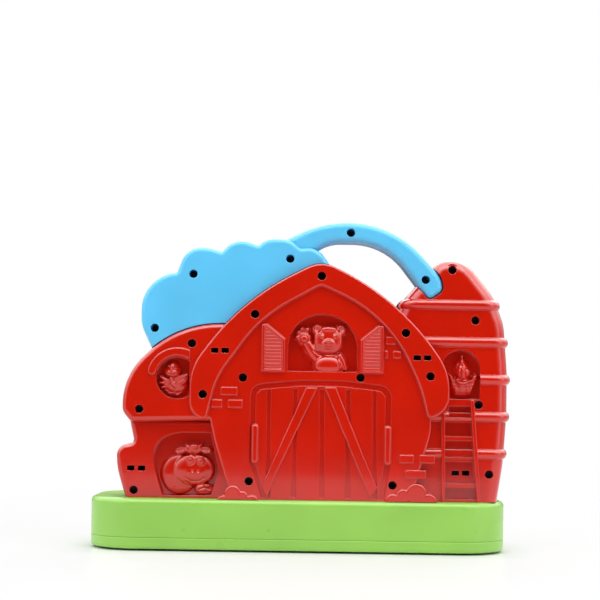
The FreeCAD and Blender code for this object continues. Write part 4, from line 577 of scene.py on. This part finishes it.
face("cow_face", COW, BARN_KEY_FRONT, [
    # Head and ears
    ("white_plastic", [spot(0, -1, 11.6, 16.0, 2.0, power=2.6)] + pair(15.5, 11.3, 5.4, 3.0, 1.2, lean=4),
     [crease([(-0.1, 14), (0, -3)], 3.0, 0.3)]),
    # Patch and forelock
    ("brown_plastic",
     [spot(-6.0, 6.0, 4.8, 6.2, 2.8, lean=12, start=1.6), spot(3.0, 15.0, 4.6, 2.6, 2.2, start=0.8)],
     [crease([(1.0, 16.6), (2.4, 12.8)], 0.6, -0.5), crease([(4.6, 16.6), (4.0, 12.8)], 0.6, -0.5)]),
    # Muzzle with nostrils and mouth, and the inside of the ears
    ("pink_plastic", [spot(0, -10.6, 9.4, 6.4, 4.2, start=1.4, power=2.3)]
     + pair(15.6, 11.3, 3.4, 1.6, 1.9, lean=4, start=1.0),
     [crease([(-3.9, -9.4), (-3.3, -8.8)], 1.4, -1.6), crease([(3.9, -9.4), (3.3, -8.8)], 1.4, -1.6),
      crease([(-5.4, -12.0), (-2.6, -13.6), (2.6, -13.6), (5.4, -12.0)], 0.7, -0.9)]),
    # Eyes
    ("black_plastic", pair(5.4, 4.4, 1.7, 2.3, 3.4, start=2.2), []),
], "cow")

face("cub_face", CUB, BARN_KEY_FRONT, [
    # Head and ears
    ("brown_plastic", [spot(0, -1.6, 10.6, 9.8, 2.2, power=2.4)] + pair(9.6, 10.4, 3.6, 3.0, 1.4),
     [crease([(9.6, 10.3), (9.7, 10.4)], 2.0, -0.9), crease([(-9.6, 10.3), (-9.7, 10.4)], 2.0, -0.9)]),
    # Muzzle with its mouth
    ("white_plastic", [spot(0, -5.4, 6.4, 4.8, 4.0, start=1.9, power=2.2)],
     [crease([(-3.4, -6.0), (-1.6, -7.6), (0, -6.6), (1.6, -7.6), (3.4, -6.0)], 0.6, -0.8),
      crease([(0, -3.4), (0, -6.4)], 0.5, -0.6)]),
    # Nose and eyes
    ("black_plastic",
     [spot(0, -2.8, 2.3, 1.6, 4.8, start=3.6)] + pair(4.8, 2.6, 1.3, 1.6, 3.2, start=2.0), []),
], "cub")

face("pig_face", PIG, SIDE_KEY_FRONT, [
    # Head with its mouth, and ears
    ("pink_plastic", [spot(0, -1.2, 12.4, 10.2, 2.0, power=2.4)] + pair(9.8, 10.4, 3.2, 3.0, 1.6),
     [crease([(10.0, 10.6), (9.2, 9.6)], 1.8, -0.8), crease([(-10.0, 10.6), (-9.2, 9.6)], 1.8, -0.8),
      crease([(-4.6, -8.2), (-2.0, -9.2), (2.0, -9.2), (4.6, -8.2)], 0.7, -0.8),
      ring(0, -2.6, 6.0, 0.7, -0.6)]),
    # Snout with nostrils
    ("orange_plastic", [spot(0, -2.6, 5.4, 4.0, 4.2, start=2.6, power=2.4)],
     [crease([(-1.9, -2.2), (-1.8, -3.0)], 1.0, -1.4), crease([(1.9, -2.2), (1.8, -3.0)], 1.0, -1.4)]),
    # Eyes
    ("black_plastic", pair(5.6, 4.4, 1.4, 1.8, 3.0, start=1.8), []),
], "pig")

face("hen_face", HEN, SIDE_KEY_FRONT, [
    # Head with ruffled feathers below
    ("white_plastic", [spot(0, -3.4, 8.6, 8.6, 2.2, power=2.3)],
     [crease([(-7.0, -7.4), (-5.0, -9.0)], 0.6, -0.6), crease([(7.0, -7.4), (5.0, -9.0)], 0.6, -0.6),
      crease([(-4.0, -9.6), (-2.4, -10.8)], 0.6, -0.6), crease([(4.0, -9.6), (2.4, -10.8)], 0.6, -0.6)]),
    # Comb and wattle
    ("red_shell", [spot(-2.9, 9.8, 1.9, 3.0, 2.2, lean=12), spot(0, 10.8, 2.0, 3.6, 2.6),
                   spot(2.9, 9.8, 1.9, 3.0, 2.2, lean=-12), spot(0, -6.8, 1.9, 2.6, 3.6, start=2.0)], []),
    # Beak
    ("orange_plastic", [spot(0, -2.4, 2.8, 2.6, 4.6, start=2.2, power=1.7)],
     [crease([(-2.6, -2.5), (2.6, -2.5)], 0.5, -0.7)]),
    # Eyes
    ("black_plastic", pair(4.2, 1.6, 1.3, 1.6, 3.2, start=2.0), []),
], "hen")

face("wheel_duck", WHEEL, WHEEL_FRONT, [
    # Beak, eye and wing
    ("orange_plastic", [spot(7.4, 5.6, 2.0, 1.2, 1.4, lean=12)],
     [crease([(6.0, 5.4), (9.2, 6.0)], 0.4, -0.5)]),
    ("black_plastic", [spot(2.6, 7.2, 0.9, 1.0, 1.0)], []),
    ("yellow_plastic", [spot(-3.4, -4.4, 4.6, 3.0, 1.2, lean=14, start=0.3)],
     [crease([(-6.6, -5.0), (-2.0, -4.0)], 0.5, -0.5), crease([(-6.0, -3.6), (-2.4, -2.6)], 0.5, -0.5)]),
], "duck")


# A raised music note on each song key, read from the play side

SONG_KEYS = {"song_one": -45.0, "song_two": 15.0, "song_three": 75.0}
SONG_KEY_TOP = 40.8
NOTE_SHIFT, NOTE_ROW = 1.6, 29.6
NOTE_CORNERS = (-9, -8.5, 7, 7.5)
NOTE = [
    egg(2.6, 4.0, 2.8, 2.1, 1.0, lean=20, start=0.5), egg(-4.2, 3.0, 2.8, 2.1, 1.0, lean=20, start=0.5),
    limb([(0.4, 4.0), (0.4, -5.4)], 0.7, 0.7, 0.9, start=0.5),
    limb([(-6.4, 3.0), (-6.4, -6.0)], 0.7, 0.7, 0.9, start=0.5),
    limb([(0.4, -5.4), (-6.4, -6.2)], 1.1, 1.1, 0.9, start=0.5),
]

for song, x in SONG_KEYS.items():
    relief(f"{song}_note", NOTE_CORNERS, key_top(SONG_KEY_TOP, (x + NOTE_SHIFT, NOTE_ROW)), NOTE, [],
           "white_plastic", song, FACE_STEP)


# Soft switch domes

UP, OUTWARDS = (0, 0, 1), (0, 1, 0)
DOME_SIDES = 40
# Radius and height of each ring of points, from the rim on the board to the top
DOME_PROFILE = [
    (8.5, 0), (8.5, 0.55), (8.25, 0.8), (6.0, 0.8), (5.6, 1.3), (5.0, 3.2), (4.7, 3.75), (4.2, 4.0),
]
BOARD_FRONT = -7.0
SONG_ROW, SONG_BOARD_TOP = 30.0, 25.6
# The share of a dome's height that is left when its key is down
WALL_DOME_KEPT, SONG_DOME_KEPT = 0.55, 0.49


def soft_dome(node, foot, axis, keep):
    """A silicone dome turned about its axis on its board, in place of the CAD model's plain one."""
    mesh = bmesh.new()
    rings = []
    for radius, height in DOME_PROFILE:
        points = []
        for i in range(DOME_SIDES):
            turn = 2 * math.pi * i / DOME_SIDES
            a, b = radius * math.cos(turn), radius * math.sin(turn)
            offset = (a, b, height) if axis == UP else (a, height, b)
            points.append(mesh.verts.new([(start + moved) * MM for start, moved in zip(foot, offset)]))
        rings.append(points)
    for low, high in zip(rings, rings[1:]):
        for i in range(DOME_SIDES):
            after = (i + 1) % DOME_SIDES
            mesh.faces.new([low[i], low[after], high[after], high[i]])
    mesh.faces.new(rings[-1])
    mesh.faces.new(rings[0][::-1])
    bmesh.ops.recalc_face_normals(mesh, faces=mesh.faces)
    piece = piece_of(f"soft_{node}", mesh, "silicone", "housing")
    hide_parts(node)
    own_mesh(piece)
    tuple(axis)


for label, (x, z) in (("cow", COW), ("cub", CUB), ("pig", PIG), ("hen", HEN)):
    soft_dome(f"{label}_dome", (x, BOARD_FRONT, z), OUTWARDS, WALL_DOME_KEPT)
for order, (song, x) in enumerate(SONG_KEYS.items(), start=1):
    soft_dome(f"song_dome_{order}", (x, SONG_ROW, SONG_BOARD_TOP), UP, SONG_DOME_KEPT)


# Stage: a white floor, a light tent and lamps

FLOOR_REACH = 1.1
FLOOR_GLOW = 0.60
# The floor's glow grows from FLOOR_GLOW to full white between these distances from the origin
WHITE_FROM, WHITE_FULL = 0.35, 0.75
# Under the toy, within these half sizes, there is no glow; it comes in between these distances from there
UNDER_TOY = (0.144, 0.044, 0)
GLOW_FROM, GLOW_FULL = 0.002, 0.03

# How bright the tent's walls and ceiling are, in plain light and in mirrors; OPENING dims them before a
# broad face
WALLS, CEILING = 0.70, 1.2
WALLS_MIRRORED, CEILING_MIRRORED = 0.65, 4.2
OPENING = 0.04
# Where they begin and end, as the height or the Y of a direction of length 1
WALLS_TOP, MIRRORED_WALLS_TOP, CEILING_FROM = 0.05, 0.1, 0.75
OPENING_FROM, OPENING_FULL = 0.70, 0.92


def floor_finish():
    """It takes the toy's shadow close by, and glows white to the eye and in mirrors further off."""
    material, tree, shader = finish_of("floor")
    fill(tree, shader, {"Base Color": linear(236, 236, 236), "Roughness": 0.3})
    place = add(tree, "ShaderNodeTexCoord").outputs["Object"]
    whiter = between(tree, length(tree, place), FLOOR_GLOW, 1.0, WHITE_FROM, WHITE_FULL)
    past = vector(tree, "SUBTRACT", vector(tree, "ABSOLUTE", place), UNDER_TOY)
    away = length(tree, vector(tree, "MAXIMUM", past, (0, 0, 0)))
    glow = number(tree, "MULTIPLY", whiter, between(tree, away, 0.0, 1.0, GLOW_FROM, GLOW_FULL))
    seen = ray_is(tree, "Is Camera Ray", "Is Glossy Ray", "Is Transmission Ray")
    mix = add(tree, "ShaderNodeMixShader", {
        "Fac": number(tree, "MULTIPLY", seen, glow),
        1: shader.outputs[0],
        2: add(tree, "ShaderNodeEmission").outputs[0],
    })
    fill(tree, tree.nodes["Material Output"], {"Surface": mix.outputs[0]})
    return material


def floor():
    """A square on the table, which isn't part of the toy."""
    mesh = bpy.data.meshes.new("floor")
    around = ((-1, -1), (1, -1), (1, 1), (-1, 1))
    mesh.from_pydata([(x * FLOOR_REACH, y * FLOOR_REACH, 0) for x, y in around], [], [range(len(around))])
    mesh.materials.append(floor_finish())
    made = bpy.data.objects.new("floor", mesh)
    bpy.context.scene.collection.objects.link(made)


def light_tent():
    """A bright ceiling, softer walls and a dark opening before each broad face; white to the camera."""
    world = bpy.data.worlds.new("studio")
    world.use_nodes = True
    bpy.context.scene.world = world
    tree = world.node_tree
    way = add(tree, "ShaderNodeSeparateXYZ", {0: add(tree, "ShaderNodeTexCoord").outputs["Generated"]})
    up = way.outputs["Z"]
    lit = between(tree, up, WALLS, CEILING, WALLS_TOP, CEILING_FROM)
    mirrored = between(tree, up, WALLS_MIRRORED, CEILING_MIRRORED, MIRRORED_WALLS_TOP, CEILING_FROM)
    across = number(tree, "ABSOLUTE", way.outputs["Y"])
    opened = between(tree, across, 1.0, OPENING, OPENING_FROM, OPENING_FULL)
    room = number(tree, "MULTIPLY", mixed(tree, ray_is(tree, "Is Glossy Ray"), lit, mirrored), opened)
    strength = mixed(tree, ray_is(tree, "Is Camera Ray", "Is Transmission Ray"), room, 1.0)
    fill(tree, tree.nodes["Background"], {"Color": (1, 1, 1, 1), "Strength": strength})


LAMPS_AIM = (0.0, 0.0, 0.12)


def softbox(name, place, width, height, watts):
    """A studio lamp at place, turned to LAMPS_AIM near the toy's middle, in metres."""
    lamp = bpy.data.lights.new(name, "AREA")
    lamp.shape = "RECTANGLE"
    lamp.size, lamp.size_y, lamp.energy = width, height, watts
    made = bpy.data.objects.new(name, lamp)
    made.location = place
    made.rotation_euler = (Vector(LAMPS_AIM) - Vector(place)).to_track_quat("-Z", "Y").to_euler()
    bpy.context.scene.collection.objects.link(made)


floor()
light_tent()
softbox("key_above", (0.05, -0.55, 1.25), width=1.5, height=0.7, watts=7.0)
softbox("fill_left", (-1.1, -0.6, 0.35), width=0.4, height=1.2, watts=1.6)
softbox("fill_right", (1.1, -0.6, 0.35), width=0.4, height=1.2, watts=1.6)
softbox("high_right", (0.75, -0.75, 0.95), width=0.5, height=0.5, watts=1.0)
softbox("play_side", (0.2, 1.2, 1.0), width=1.4, height=0.8, watts=7.5)


# Camera, fitted to the photograph's outline: square to the screw side, a little below the toy's mid-height,
# rolled a little, and with its view shifted up, not tilted

CAMERA_PLACE = (0.65 * MM, -1046 * MM, 105 * MM)
ROLL = math.radians(0.87)
SENSOR_WIDTH = 36
LENS = 84.72
PICTURE_WIDTH = 600
SHIFT_UP = 104.6 / PICTURE_WIDTH
FARTHEST = 20

camera = bpy.data.cameras.new("camera")
camera.lens = LENS
camera.sensor_width = SENSOR_WIDTH
camera.shift_y = SHIFT_UP
camera.clip_end = FARTHEST
seen_from = bpy.data.objects.new("camera", camera)
seen_from.rotation_euler = (Matrix.Rotation(math.pi / 2, 3, "X") @ Matrix.Rotation(ROLL, 3, "Z")).to_euler()
seen_from.location = CAMERA_PLACE
bpy.context.scene.collection.objects.link(seen_from)
bpy.context.scene.camera = seen_from
bpy.context.scene.view_settings.view_transform = "Standard"
